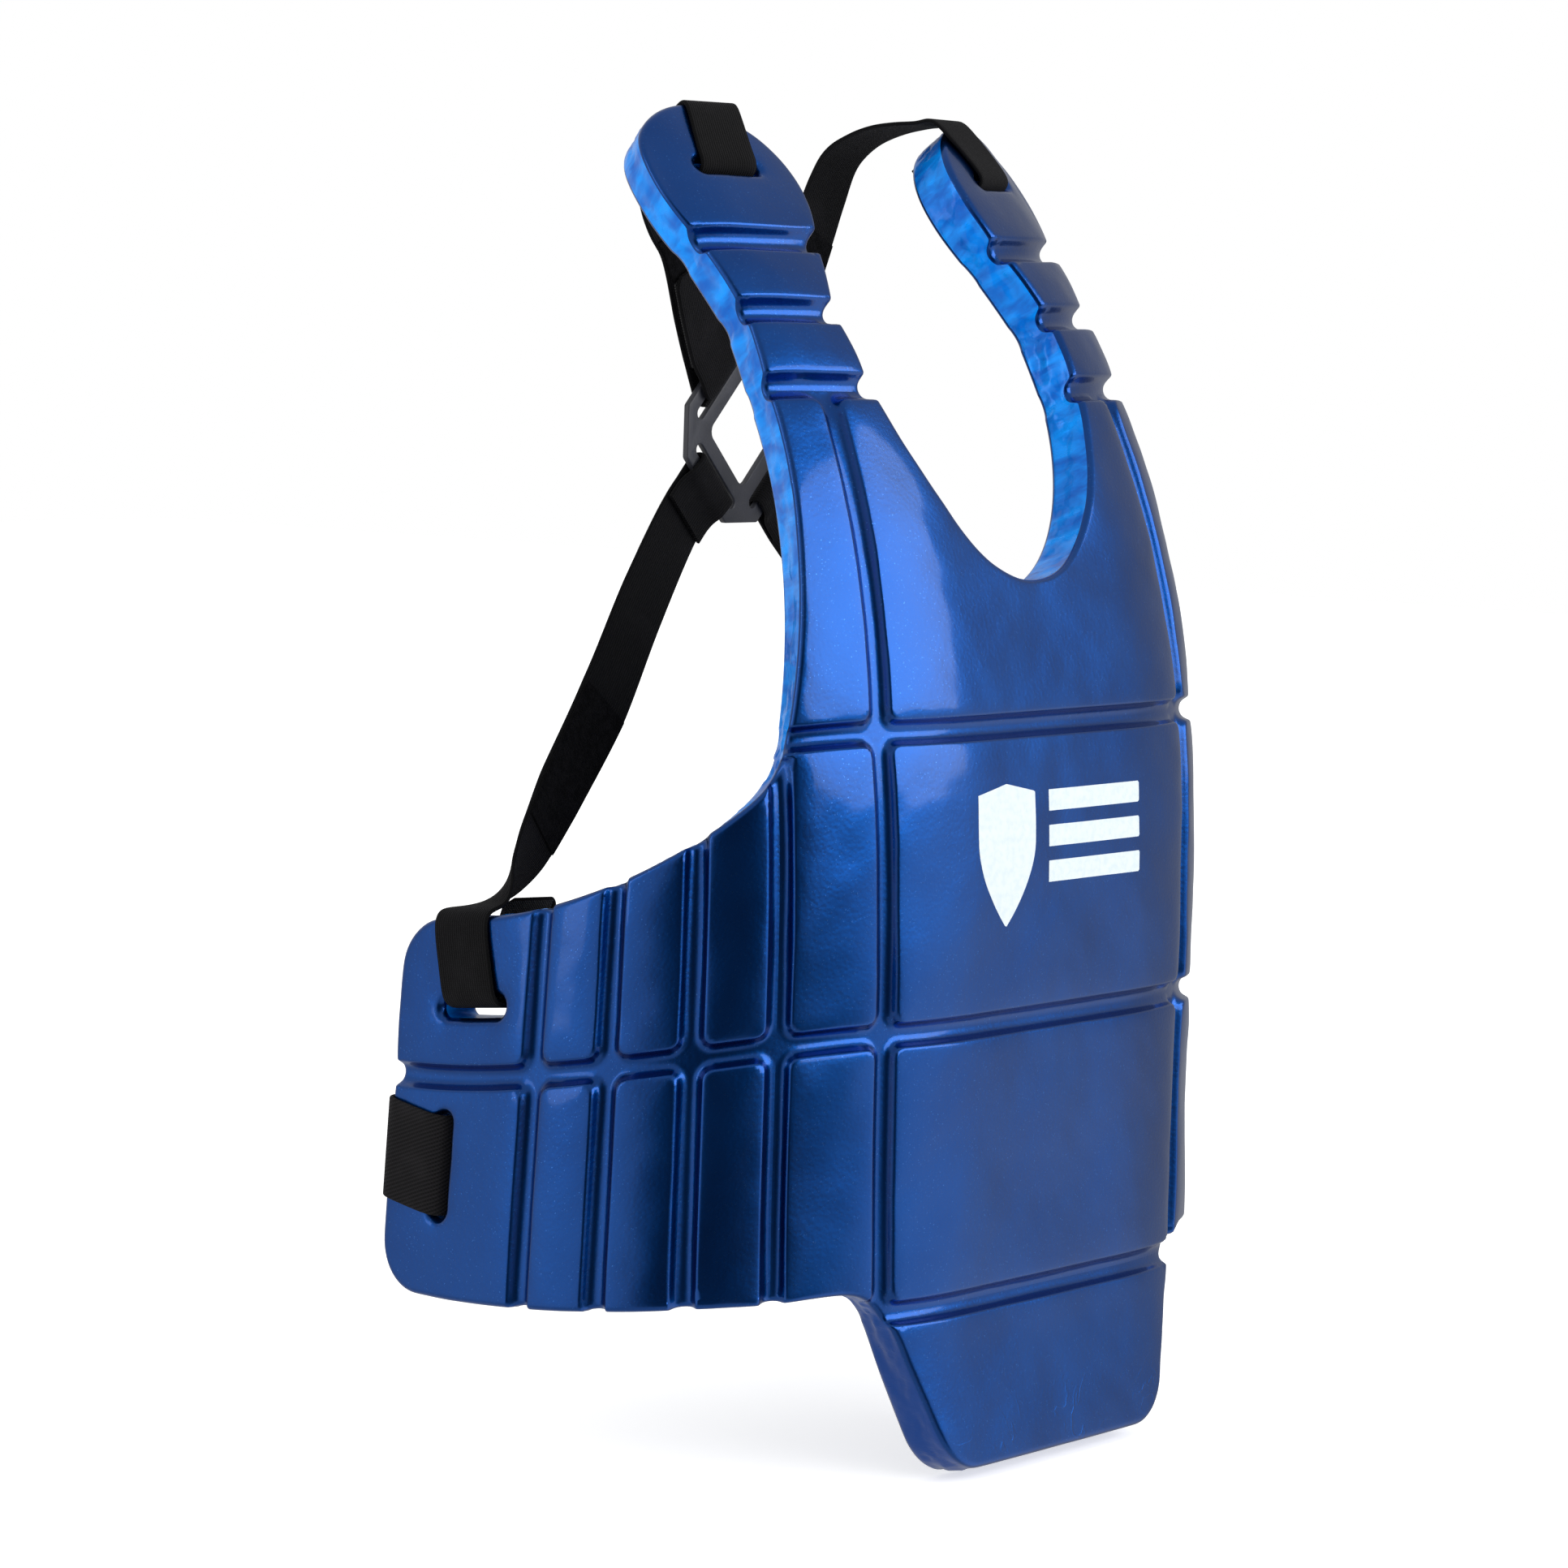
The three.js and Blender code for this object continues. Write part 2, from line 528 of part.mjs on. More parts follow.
// Side elastic: sewn round a lower bar of the plate, it runs down to the wing, turns over the
// wing's top edge, lies on its outer face, goes in through the slot and comes up inside.
const sideSpanKnots = [
  ...plateKnots(-1, [[54, 2.2], [46, 2.1], [42, 1.2], [38, -1], [34, -1.7], [30.8, -2], [28.9, -1.4], [28.2, 0],
    [28.1, 1.6], [28.9, 3.9], [30.8, 4.7], [34, 4.7], [42, 4.65], [54, 4.6]]),
  { at: [70, 175, 281], across: [0.72, 0.1, 0.69] },
  { at: [104, 168, 240], across: [0.72, 0.16, 0.68] },
  { at: [137, 164.5, 203], across: [0.72, 0.02, 0.7] },
  { at: [153.5, 165, 180.5], across: [0.69, -0.22, 0.69] },
  { at: [161.5, 168, 168.5], across: [0.59, -0.51, 0.62] },
  { at: [168.5, 170.3, 161.5], across: [0.33, -0.86, 0.4] },
  { at: [175.5, 171.7, 158.2], across: [0.08, -0.98, 0.16] },
  { at: [181, 172.6, 157.2], across: [0, -0.99, 0.12] },
];
const wingLoopRoute = [
  [185.2, -2.6, 9], [184.6, -0.4, 9], [183.2, 1.2, 9], [180.6, 2, 8.8], [176, 2, 7.8], [160, 2, 4.4], [151, 2, 2.2],
  [147.6, 1.4, 1.5], [145.2, -1, 1.1], [144.4, -5, 0.9], [144.4, -17, 0.7], [145.2, -21.4, 0.5], [147.4, -24.2, 0.4]];
const wingEndRoute = [
  [149, -24.8], [156, -25], [170, -25, -2], [178, -25.3, -3], [182, -25.9, -3.6], [185, -26.8, -4], [187.5, -28, -4.4]];

function sideStrap(name, side) {
  const span = freeStations(side, WEBBING, sideSpanKnots, 2 * (sideSpanKnots.length - 1));
  add(`${name}_side_strap`, ribbon(span, WEB_THICK), webBlack());
  add(`${name}_side_loop_patch`, ribbon(layer(span, 29, 34, LOOP_LAYER, inwards, 0.94), PATCH_THICK), loopBlack());
  const loop = uprightStations(side, SIDE_SLOT.u, WEBBING, wingLoopRoute);
  add(`${name}_side_strap_loop`, ribbon(loop, WEB_THICK), webBlack());
  const end = uprightStations(side, SIDE_SLOT.u, WEBBING, wingEndRoute);
  add(`${name}_side_strap_end`, ribbon(end, WEB_THICK), webBlack());
  const outwards = new THREE.Vector3(side, 0, 0.4);
  const hook = layer(end, 3, 6, WEB_THICK / 2 + CLEAR + PATCH_THICK / 2, outwards, 0.94);
  add(`${name}_side_hook_patch`, ribbon(hook, PATCH_THICK), hookBlack());
}

// Waist elastic: right across the back, round the rear edge of each wing, in through its upright
// slot, and each end turned back to close on the inner face of the strap.
const waistLoopRoute = [
  [350.5, -13, 6.5], [350.5, -2, 6.5], [349.4, 1, 6.5], [346.8, 2.6, 6.3], [336, 2.4, 4.2], [324, 2.2, 1.6],
  [319.6, 1.4, 0.5], [317.2, -1], [316.4, -5], [316.4, -17], [317.2, -21.6], [319.4, -24.2, 0.5]];
const waistTurnRoute = [[321, -24.9, 0.8], [328, -25, 2.4], [338, -25, 4.6], [344.5, -25.3, 6]];
const waistHeight = 54.5;
const waistHalfKnots = [[168, 213.5], [155, 220], [138, 229], [112, 238.5], [80, 244], [40, 247]];

function waistStrap() {
  const half = waistHalfKnots.map(([x, y]) => ({ at: [x, y, waistHeight], across: [0, 0, 1] }));
  const mirrored = half.map(({ at: [x, y, z], across }) => ({ at: [-x, y, z], across }));
  const knots = [...mirrored, { at: [0, 248, waistHeight], across: [0, 0, 1] }, ...half.slice().reverse()];
  const free = freeStations(1, WAIST_WEBBING, knots, 3 * (knots.length - 1));
  const root = (side) => levelStations(side, WAIST_SLOT.v, WAIST_WEBBING, [[350.5, -13.8, 6.5], [350.5, -16, 6.5]]);
  const main = [...root(-1), ...free, ...root(1).reverse()];
  add('waist_strap', ribbon(main, WEB_THICK), webBlack());
  for (const [name, side] of [['right', -1], ['left', 1]]) {
    const near = side < 0 ? (i) => i : (i) => main.length - 1 - i;
    const loop = levelStations(side, WAIST_SLOT.v, WAIST_WEBBING, waistLoopRoute);
    add(`${name}_waist_strap_loop`, ribbon(loop, WEB_THICK), webBlack());
    const turn = levelStations(side, WAIST_SLOT.v, WAIST_WEBBING, waistTurnRoute);
    const end = [...turn, ...layer(main, near(5), near(10), END_LAYER, inwards)];
    add(`${name}_waist_strap_end`, ribbon(end, WEB_THICK), webBlack());
    const loopPatch = layer(main, near(5), near(14), LOOP_LAYER, inwards, 0.96);
    add(`${name}_waist_loop_patch`, ribbon(loopPatch, PATCH_THICK), loopBlack());
    const hookPatch = layer(main, near(5), near(10), HOOK_LAYER, inwards, 0.96);
    add(`${name}_waist_hook_patch`, ribbon(hookPatch, PATCH_THICK), hookBlack());
  }
}

for (const [name, side] of [['right', -1], ['left', 1]]) {
  shoulderStrap(name, side);
  sideStrap(name, side);
}
waistStrap();

export default guard;
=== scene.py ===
import math

import bmesh
import bpy
import numpy as np
from mathutils import Matrix, Vector, geometry


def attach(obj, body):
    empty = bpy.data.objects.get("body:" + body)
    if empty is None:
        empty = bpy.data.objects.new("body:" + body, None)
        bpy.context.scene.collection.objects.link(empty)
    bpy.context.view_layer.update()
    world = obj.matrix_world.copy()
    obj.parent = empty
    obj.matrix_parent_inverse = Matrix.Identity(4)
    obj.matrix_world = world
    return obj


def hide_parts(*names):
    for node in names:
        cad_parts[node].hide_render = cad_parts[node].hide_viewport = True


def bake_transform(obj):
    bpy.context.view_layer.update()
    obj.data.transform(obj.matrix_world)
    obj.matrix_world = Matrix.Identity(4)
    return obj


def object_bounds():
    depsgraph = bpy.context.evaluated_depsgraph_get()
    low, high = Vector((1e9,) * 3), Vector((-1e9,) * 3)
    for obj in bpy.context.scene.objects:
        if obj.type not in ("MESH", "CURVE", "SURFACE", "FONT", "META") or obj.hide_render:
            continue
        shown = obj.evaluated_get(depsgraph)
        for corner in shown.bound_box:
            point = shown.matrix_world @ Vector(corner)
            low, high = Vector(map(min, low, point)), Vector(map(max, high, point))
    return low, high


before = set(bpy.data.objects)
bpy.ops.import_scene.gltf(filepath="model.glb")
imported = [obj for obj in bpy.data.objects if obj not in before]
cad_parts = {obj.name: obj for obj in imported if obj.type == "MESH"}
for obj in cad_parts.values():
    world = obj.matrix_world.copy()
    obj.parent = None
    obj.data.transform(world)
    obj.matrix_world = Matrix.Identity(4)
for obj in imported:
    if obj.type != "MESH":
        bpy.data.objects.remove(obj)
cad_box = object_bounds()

# The chest protector's looks: the moulded foam guard with its blue dipped skin, the elastics with their
# hook-and-loop closings, and the back plate. The guard is drawn as a flat pattern in millimetres and
# bent by the same rule as the CAD model: u runs round the chest from the centre front, v runs up from
# the groove over the hip flap, and w is the height above the outer face.
MM = 0.001
SIDES = (("right", -1), ("left", 1))
FOAM = 22.0
HIP_GROOVE, WAIST_GROOVE, CHEST_GROOVE = 0.0, 115.0, 239.0
SHOULDER_GROOVES = (386.0, 421.0, 456.0)
WING_GROOVES = (161.0, 197.0, 233.0, 269.0)
PANEL_SEAM = 110.0
SHOULDER_ROOT, SHOULDER_END = SHOULDER_GROOVES[0], SHOULDER_GROOVES[-1]
WING_ROOT = WING_GROOVES[0]
REAR_EDGE, REAR_ROUND, REAR_TOP = 348.0, 22.0, 181.1
WING_LOW, WING_LOW_SLOPE = 10.0, 0.085
NECK_BOTTOM, NECK_HALF = 300.0, 77.0
ARM_FOOT, ARM_HALF = 223.0, 132.0
HIP_TOP_HALF, HIP_BOTTOM_HALF, HIP_BOTTOM, HIP_ROUND = 107.0, 77.0, -69.0, 16.0
TAB_WIDEST, TAB_TOP, TAB_MIDDLE = 484.0, 527.0, 100.0
TAB_ROOT_HALF, TAB_HALF = 32.5, 40.0
UPRIGHT_TOP, CHEST_GROOVE_END, SEAM_PAST = 232.0, 175.0, 6.0   # where grooves run out
SLOTS = (   # u, v, wide, high
    (97.5, 493.0, 33.5, 6.0),
    (305.0, 144.0, 36.0, 8.5),
    (317.0, 78.0, 8.0, 44.0),
)
CENTRE = np.array([0.0, 110.0, 230.0])
FAR = 1e3
rng = np.random.default_rng(11)


# ---- camera ----
def make_camera():
    azimuth, pitch, roll = (math.radians(x) for x in (-53.52, 5.22, 1.86))
    level = Vector((math.sin(azimuth), -math.cos(azimuth), 0)) * math.cos(pitch)
    back = level + Vector((0, 0, math.sin(pitch)))
    right = Vector((math.cos(azimuth), math.sin(azimuth), 0))
    up = back.cross(right)
    x = right * math.cos(roll) + up * math.sin(roll)
    y = up * math.cos(roll) - right * math.sin(roll)
    data = bpy.data.cameras.new("camera")
    data.sensor_width, data.lens = 36, 124.05
    data.clip_start, data.clip_end = 0.05, 50
    camera = bpy.data.objects.new("camera", data)
    bpy.context.scene.collection.objects.link(camera)
    turn = Matrix((x, y, back)).transposed().to_4x4()
    camera.matrix_world = Matrix.Translation((-1.8919, -1.3607, 0.1861)) @ turn
    bpy.context.scene.camera = camera


make_camera()


# ---- the bend ----
def ramp(start, end, x):
    t = np.clip((np.asarray(x, float) - start) / (end - start), 0, 1)
    return t * t * (3 - 2 * t)


def mix(a, b, t):
    return a + (b - a) * t


def heading(u):
    return math.radians(95) * ramp(40, 300, np.abs(u))


def lean(v):
    chest = math.radians(42) * ramp(120, 560, v)
    belly = math.radians(8) * ramp(-80, 100, -v)
    flap = math.radians(4) * ramp(0, 30, -v)
    return chest + belly + flap


def running_sum(angle, low, high, step=0.25):
    at = np.arange(low, high, step) + step / 2
    sums = [np.concatenate([[0], np.cumsum(f(angle(at))) * step]) for f in (np.cos, np.sin)]
    ends = np.arange(len(sums[0])) * step + low
    return lambda x: [np.interp(x, ends, s) for s in sums]


plan_sum = running_sum(heading, 0, 420)
profile_sum = running_sum(lean, -140, 640)
profile_zero = profile_sum(0.0)


def bend(u, v, w):
    """Points of the guard in metres, from pattern coordinates in millimetres."""
    u, v, w = np.broadcast_arrays(*(np.asarray(x, float) for x in (u, v, w)))
    out, side = np.abs(u), np.where(u < 0, -1.0, 1.0)
    across, back = plan_sum(out)
    rise, lean_back = (s - z for s, z in zip(profile_sum(v), profile_zero))
    on_wing = ramp(130, 240, out)
    flare = 0.06 * (165 - v) * on_wing
    droop = 30 * ramp(110, 350, out)
    turn, tilt = heading(out), lean(v)
    normal = np.stack([side * np.sin(turn) * np.cos(tilt), -np.cos(turn) * np.cos(tilt),
                       np.cos(turn) * np.sin(tilt)], -1)
    normal /= np.linalg.norm(normal, axis=-1, keepdims=True)
    spot = np.stack([side * (across + np.sin(turn) * flare),
                     back - np.cos(turn) * flare + lean_back * (1 - on_wing),
                     rise * (1 - on_wing) + v * on_wing - droop], -1)
    return (spot + normal * w[..., None] - CENTRE) * MM


# ---- outline of the flat pattern, left half ----
def panel_seam(v):
    return np.interp(v, [HIP_GROOVE, CHEST_GROOVE, SHOULDER_ROOT], [PANEL_SEAM, 114, 104])


def tab_half(v):
    rise = np.clip((v - SHOULDER_END) / (TAB_WIDEST - SHOULDER_END), 0, 1)
    fall = np.clip((v - TAB_WIDEST) / (TAB_TOP - TAB_WIDEST), 0, 1)
    low = TAB_ROOT_HALF + (TAB_HALF - TAB_ROOT_HALF) * np.sin(rise * math.pi / 2)
    high = TAB_HALF * (1 - fall ** 2.3) ** 0.6
    return np.where(v < TAB_WIDEST, low, high)


def hip_side():
    """The hip flap's outline: along its bottom from the middle, round its corner and up its side."""
    t, bend_top = np.linspace(0, 1, 400), HIP_BOTTOM + HIP_ROUND
    v = np.concatenate([np.full(400, HIP_BOTTOM), mix(HIP_BOTTOM, bend_top, t ** 2), mix(bend_top, 0, t)])
    corner = np.clip((bend_top - v) / HIP_ROUND, 0, 1)
    half = mix(HIP_TOP_HALF, HIP_BOTTOM_HALF, v / HIP_BOTTOM) - HIP_ROUND * (1 - np.sqrt(1 - corner ** 2))
    half[:400] = t * half[400]
    return half, v


def dense_outline():
    """The half outline from the bottom of the hip flap, out along the wing, up and back to the neckline."""
    u = np.linspace(HIP_TOP_HALF, REAR_EDGE - REAR_ROUND, 900)
    past_root = WING_LOW + WING_LOW_SLOPE * (u - WING_ROOT)
    under_wing = np.where(u < WING_ROOT, WING_LOW * ramp(0, 12, u - HIP_TOP_HALF), past_root)
    a = np.linspace(0, math.pi / 2, 60)
    round_middle = REAR_EDGE - REAR_ROUND
    foot = past_root[-1] + REAR_ROUND
    head = REAR_TOP - REAR_ROUND
    over_u = np.linspace(round_middle, WING_ROOT, 600)
    over_wing = mix(181, ARM_FOOT, ((REAR_EDGE - over_u) / (REAR_EDGE - WING_ROOT)) ** 3)
    arm_v = np.linspace(ARM_FOOT, SHOULDER_ROOT, 500)
    arm_u = mix(ARM_HALF, WING_ROOT, ((SHOULDER_ROOT - arm_v) / (SHOULDER_ROOT - ARM_FOOT)) ** 1.5)
    link_v = np.linspace(SHOULDER_ROOT, SHOULDER_END, 200)
    tab_v = SHOULDER_END + (TAB_TOP - SHOULDER_END) * np.sin(np.linspace(0, math.pi / 2, 500))
    neck_u = NECK_HALF * np.cos(np.linspace(0, math.pi / 2, 700))
    neck_share = (1 - (neck_u / NECK_HALF) ** 2.2) ** 0.8
    runs = [
        hip_side(),
        (u, under_wing),
        (round_middle + REAR_ROUND * np.sin(a), foot - REAR_ROUND * np.cos(a)),
        (np.full(300, REAR_EDGE), np.linspace(foot, head, 300)),
        (round_middle + REAR_ROUND * np.cos(a), head + REAR_ROUND * np.sin(a)),
        (over_u, over_wing),
        (arm_u, arm_v),
        (np.interp(link_v, SHOULDER_GROOVES, [ARM_HALF, 128, 133]), link_v),
        (TAB_MIDDLE + tab_half(tab_v), tab_v),
        ((TAB_MIDDLE - tab_half(tab_v))[::-1], tab_v[::-1]),
        (np.interp(link_v[::-1], SHOULDER_GROOVES, [NECK_HALF, 80, 68]), link_v[::-1]),
        (neck_u, SHOULDER_ROOT - (SHOULDER_ROOT - NECK_BOTTOM) * neck_share),
    ]
    return np.concatenate([np.stack(run, 1) for run in runs])


def arc_lengths(line):
    return np.concatenate([[0], np.cumsum(np.linalg.norm(np.diff(line, axis=0), axis=1))])


def resample_at(values, known, at):
    return np.stack([np.interp(at, known, column) for column in values.T], 1)


def resample(line, at):
    return resample_at(line, arc_lengths(line), at)


def blur(values, sigma, before, after):
    """Rows of values smoothed by a bell curve that reaches as far as the rows given before and after them."""
    reach = len(before)
    kernel = np.exp(-0.5 * (np.arange(-reach, reach + 1) / sigma) ** 2)
    kernel /= kernel.sum()
    wide = np.concatenate([before, values, after])
    return np.stack([np.convolve(column, kernel, "valid") for column in wide.T], 1)


def soften(line, sigma):
    """The half outline smoothed as one line with its mirror image."""
    reach = int(sigma * 4)
    mirrored = line * [-1, 1]
    return blur(line, sigma, mirrored[1:reach + 1][::-1], mirrored[-reach - 1:-1][::-1])


def half_outline():
    line = dense_outline()
    line = resample(line, np.arange(0, arc_lengths(line)[-1], 0.5))
    mild, strong = soften(line, 4), soften(line, 22)
    corners = np.array([[WING_ROOT, ARM_FOOT], [HIP_TOP_HALF + 6, 5]])
    near = np.exp(-(np.linalg.norm(line[:, None] - corners, axis=2) / 26) ** 2).max(1)
    line = mild + (strong - mild) * near[:, None]
    line[0, 0] = line[-1, 0] = 0
    line = line + edge_normals(line, False) * (0.16 * groove_depth(*line.T))[:, None]
    line[0, 0] = line[-1, 0] = 0
    spacing = mix(2.6, 0.75, groove_nearness(*line.T))
    count = np.concatenate([[0], np.cumsum(0.5 / spacing[1:])])
    at = np.interp(np.linspace(0, count[-1], int(count[-1])), count, arc_lengths(line))
    return resample(line, at)


def edge_normals(line, closed):
    """Unit normals of a line, pointing to its left."""
    step = np.roll(line, -1, 0) - np.roll(line, 1, 0) if closed else np.gradient(line, axis=0)
    step /= np.maximum(np.linalg.norm(step, axis=1, keepdims=True), 1e-9)
    return np.stack([-step[:, 1], step[:, 0]], 1)


# ---- grooves and pads ----
def groove_section():
    """Depth of a groove against the distance from its middle: a round floor, a steep wall, a crisp lip."""
    floor_radius, depth, lip = 5.4, 6.2, 1.1
    a = np.linspace(0, math.radians(64), 40)
    e = floor_radius * np.sin(a)
    d = depth - floor_radius * (1 - np.cos(a))
    slope = math.tan(a[-1])
    mouth = e[-1] + d[-1] / slope
    tangent = lip * math.tan(a[-1] / 2)
    start = mouth - tangent * math.cos(a[-1])
    b = np.linspace(a[-1], 0, 16)
    lip_e = mouth + tangent - lip * np.sin(b)
    lip_d = lip * (1 - np.cos(b))
    wall_e = np.linspace(e[-1], start, 8)[1:-1]
    wall_d = (mouth - wall_e) * slope
    return np.concatenate([e, wall_e, lip_e]), np.concatenate([d, wall_d, lip_d]), mouth


SECTION_E, SECTION_D, MOUTH = groove_section()
LEVEL = [(v, 0.85) for v in (HIP_GROOVE, WAIST_GROOVE, CHEST_GROOVE)] + [(v, 0.98) for v in SHOULDER_GROOVES]
SEAM_SCALE = 0.86
UPRIGHT = [(u, SEAM_SCALE) for u in WING_GROOVES]


def line_distances(u, v):
    """Distance to the nearest upright and the nearest level groove, in groove sizes."""
    dx, dy = np.full(np.shape(u), FAR), np.full(np.shape(u), FAR)
    for at, size in UPRIGHT:
        dx = np.minimum(dx, np.where(v < UPRIGHT_TOP, np.abs(u - at) / size, FAR))
    seam = np.abs(u - panel_seam(v)) / SEAM_SCALE
    on_seam = (v > HIP_GROOVE - SEAM_PAST) & (v < SHOULDER_ROOT + SEAM_PAST)
    dx = np.minimum(dx, np.where(on_seam, seam, FAR))
    for at, size in LEVEL:
        reach = np.abs(v - at) / size
        if at == CHEST_GROOVE:
            reach = np.where(u < CHEST_GROOVE_END, reach, FAR)
        dy = np.minimum(dy, reach)
    return np.where((v < HIP_GROOVE) | (v > SHOULDER_ROOT), FAR, dx), dy


def pad_distance(u, v):
    dx, dy = line_distances(u, v)
    round_at = MOUTH + 4.5
    in_corner = (dx < round_at) & (dy < round_at)
    cornered = round_at - np.hypot(round_at - dx, round_at - dy)
    return np.where(in_corner, cornered, np.minimum(dx, dy))


def groove_depth(u, v):
    """Depth of the grooves, which are shallower on the panels and wings than on the shoulder straps."""
    e = pad_distance(u, v)
    return np.interp(e, SECTION_E, SECTION_D) * mix(0.74, 1.0, ramp(370, 384, v))


def groove_nearness(u, v):
    return 1 - ramp(MOUTH + 1.5, MOUTH + 5, pad_distance(u, v))


class Waves:
    """A smooth, repeatable unevenness: a sum of sines with random headings and phases."""
    def __init__(self, shortest, longest, count=28):
        angle = rng.uniform(0, 2 * math.pi, count)
        number = 2 * math.pi / rng.uniform(shortest, longest, count)
        self.k = np.stack([np.cos(angle) * number, np.sin(angle) * number], 1)
        self.phase = rng.uniform(0, 2 * math.pi, count)

    def __call__(self, a, b):
        total = np.zeros(np.shape(a))
        for (ka, kb), phase in zip(self.k, self.phase):
            total += np.sin(a * ka + b * kb + phase)
        return total / math.sqrt(len(self.phase) / 2)


swell, ripple = Waves(45, 110), Waves(13, 30)
wall_swell, wall_ripple = Waves(14, 40), Waves(4, 9)


def unevenness(u, v):
    return 0.22 * swell(u, v) + 0.05 * ripple(u, v)


EDGE_ROUND, BACK_ROUND = 2.3, 1.8
EDGE_STEPS = (0.0, 0.12, 0.45, 1.0, 1.7, 2.5, 3.8)


def fillet(distance, radius):
    inside = np.clip(radius - distance, 0, radius)
    return radius - np.sqrt(np.maximum(radius * radius - inside * inside, 0))


def slot_loop(u, v, wide, high):
    """A round-ended slot, as a closed loop with the foam to its left."""
    r = min(wide, high) / 2
    along = np.array([1.0, 0.0]) if wide > high else np.array([0.0, 1.0])
    aside = np.array([-along[1], along[0]])
    reach = max(wide, high) / 2 - r
    spots = []
    for end in (1, -1):
        for a in np.linspace(-math.pi / 2, math.pi / 2, 13):
            spots.append(end * along * (reach + r * math.cos(a)) + end * aside * r * math.sin(a))
        straight = np.linspace(0, 1, int(2 * reach / 1.6) + 1)[1:-1]
        spots += [end * (aside * r + along * mix(reach, -reach, f)) for f in straight]
    return (np.array(spots) + [u, v])[::-1]


# ---- the flat mesh ----
BLOCK = 2000   # points measured at a time


def segment_distance(points, starts, ends):
    """Distance from each point to the nearest of the segments."""
    best = np.full(len(points), 1e9)
    step = ends - starts
    length = np.maximum((step ** 2).sum(1), 1e-12)
    for low in range(0, len(points), BLOCK):
        p = points[low:low + BLOCK, None, :] - starts[None]
        t = np.clip((p * step).sum(2) / length, 0, 1)
        gap = p - t[..., None] * step
        best[low:low + BLOCK] = np.sqrt((gap ** 2).sum(2).min(1))
    return best


def inside(points, loop):
    a, b = loop, np.roll(loop, -1, 0)
    odd = np.zeros(len(points), bool)
    for (ax, ay), (bx, by) in zip(a, b):
        if ay == by:
            continue
        hit = ((ay > points[:, 1]) != (by > points[:, 1]))
        odd ^= hit & (points[:, 0] < (bx - ax) * (points[:, 1] - ay) / (by - ay) + ax)
    return odd


def spread_out(values, gap):
    kept = []
    for x in values:
        if not kept or x - kept[-1] > gap:
            kept.append(x)
    return kept


def graded_lines(grooves, low, high, coarse):
    """Grid lines from low to high, close together over each groove's walls and wide apart on the pads."""
    close = np.array([0, 1.1, 2.2, 3.2, 4.0, 4.6, 5.1, 5.6, 6.1, 6.7, 7.5, 9.0, 11.5, 15.0])
    lines = {round(at + side * d, 3) for at, size in grooves for d in close * size for side in (-1, 1)}
    edges = [low] + spread_out(sorted(x for x in lines if low <= x <= high), 0.35) + [high]
    full = []
    for a, b in zip(edges, edges[1:]):
        n = max(1, math.ceil((b - a) / coarse))
        full += [a + (b - a) * i / n for i in range(n)]
    return np.array(spread_out(full + [high], 0.3))


def triangulate(points, edges):
    coords = [Vector(p) for p in points.tolist()]
    verts, _, faces, *_ = geometry.delaunay_2d_cdt(coords, edges, [], 0, 1e-4)
    return np.array([tuple(p) for p in verts]), [tuple(f) for f in faces]


def loop_edges(start, count, closed=True):
    pairs = [(start + i, start + i + 1) for i in range(count - 1)]
    return pairs + [(start + count - 1, start)] if closed else pairs


def segments(line, closed):
    return (line, np.roll(line, -1, 0)) if closed else (line[:-1], line[1:])


def flat_face(rim, holes, spots, steps, seams):
    """Triangles over the half pattern, from its rim and holes, inset copies of them, free spots and seams."""
    loops = [(rim, False)] + [(hole, True) for hole in holes]
    starts, ends = (np.concatenate(part) for part in zip(*(segments(*loop) for loop in loops)))
    edges, at = [], 0
    for line, closed in loops:
        edges += loop_edges(at, len(line), closed)
        at += len(line)
    edges.insert(len(rim) - 1, (len(rim) - 1, 0))
    inset = []
    for line, closed in loops:
        normal = edge_normals(line, closed)
        for d in steps[1:]:
            moved = line + normal * d
            if not closed:
                moved[0, 0] = moved[-1, 0] = 0
            inset.append(moved[segment_distance(moved, starts, ends) > 0.93 * d])
    inset = np.concatenate(inset)
    clear = segment_distance(spots, starts, ends) > steps[-1] + 0.9
    spots = spots[clear & inside(spots, rim)]
    at += len(inset) + len(spots)
    for seam in seams:
        edges += loop_edges(at, len(seam), False)
        at += len(seam)
    verts, faces = triangulate(np.concatenate([rim, *holes, inset, spots, *seams]), edges)
    centre = np.array([verts[list(f)].mean(0) for f in faces])
    keep = inside(centre, rim)
    for hole in holes:
        keep &= ~inside(centre, hole)
    return verts, [f for f, k in zip(faces, keep) if k], (starts, ends)


def crossings(rim, value, axis):
    """Where the rim crosses a level or upright line."""
    found = []
    for p, q in zip(rim[:-1], rim[1:]):
        if (p[axis] - value) * (q[axis] - value) < 0 or p[axis] == value:
            t = (value - p[axis]) / (q[axis] - p[axis])
            found.append(mix(p[1 - axis], q[1 - axis], t))
    return sorted(found)


def seam_line(value, axis, steps, grid, low, high):
    """Spots along a seam, with the outline's inset steps at each end that lies on the outline."""
    inset = steps[-1] + 0.9
    from_low = [low + d for d in steps] if low > 0 else [0.0]
    first = low + inset if low > 0 else 0
    along = from_low + [x for x in grid if first < x < high - inset] + [high - d for d in reversed(steps)]
    return np.array([[value, x] if axis == 0 else [x, value] for x in along])


rim = half_outline()
holes = [slot_loop(*s) for s in SLOTS]
OUTER_STEP, INNER_STEP = 4.5, 7.5   # widest spacing of the two faces' grids
columns = graded_lines([(PANEL_SEAM, SEAM_SCALE)] + UPRIGHT, 0, REAR_EDGE, OUTER_STEP)
rows = graded_lines(LEVEL, HIP_BOTTOM, TAB_TOP, OUTER_STEP)


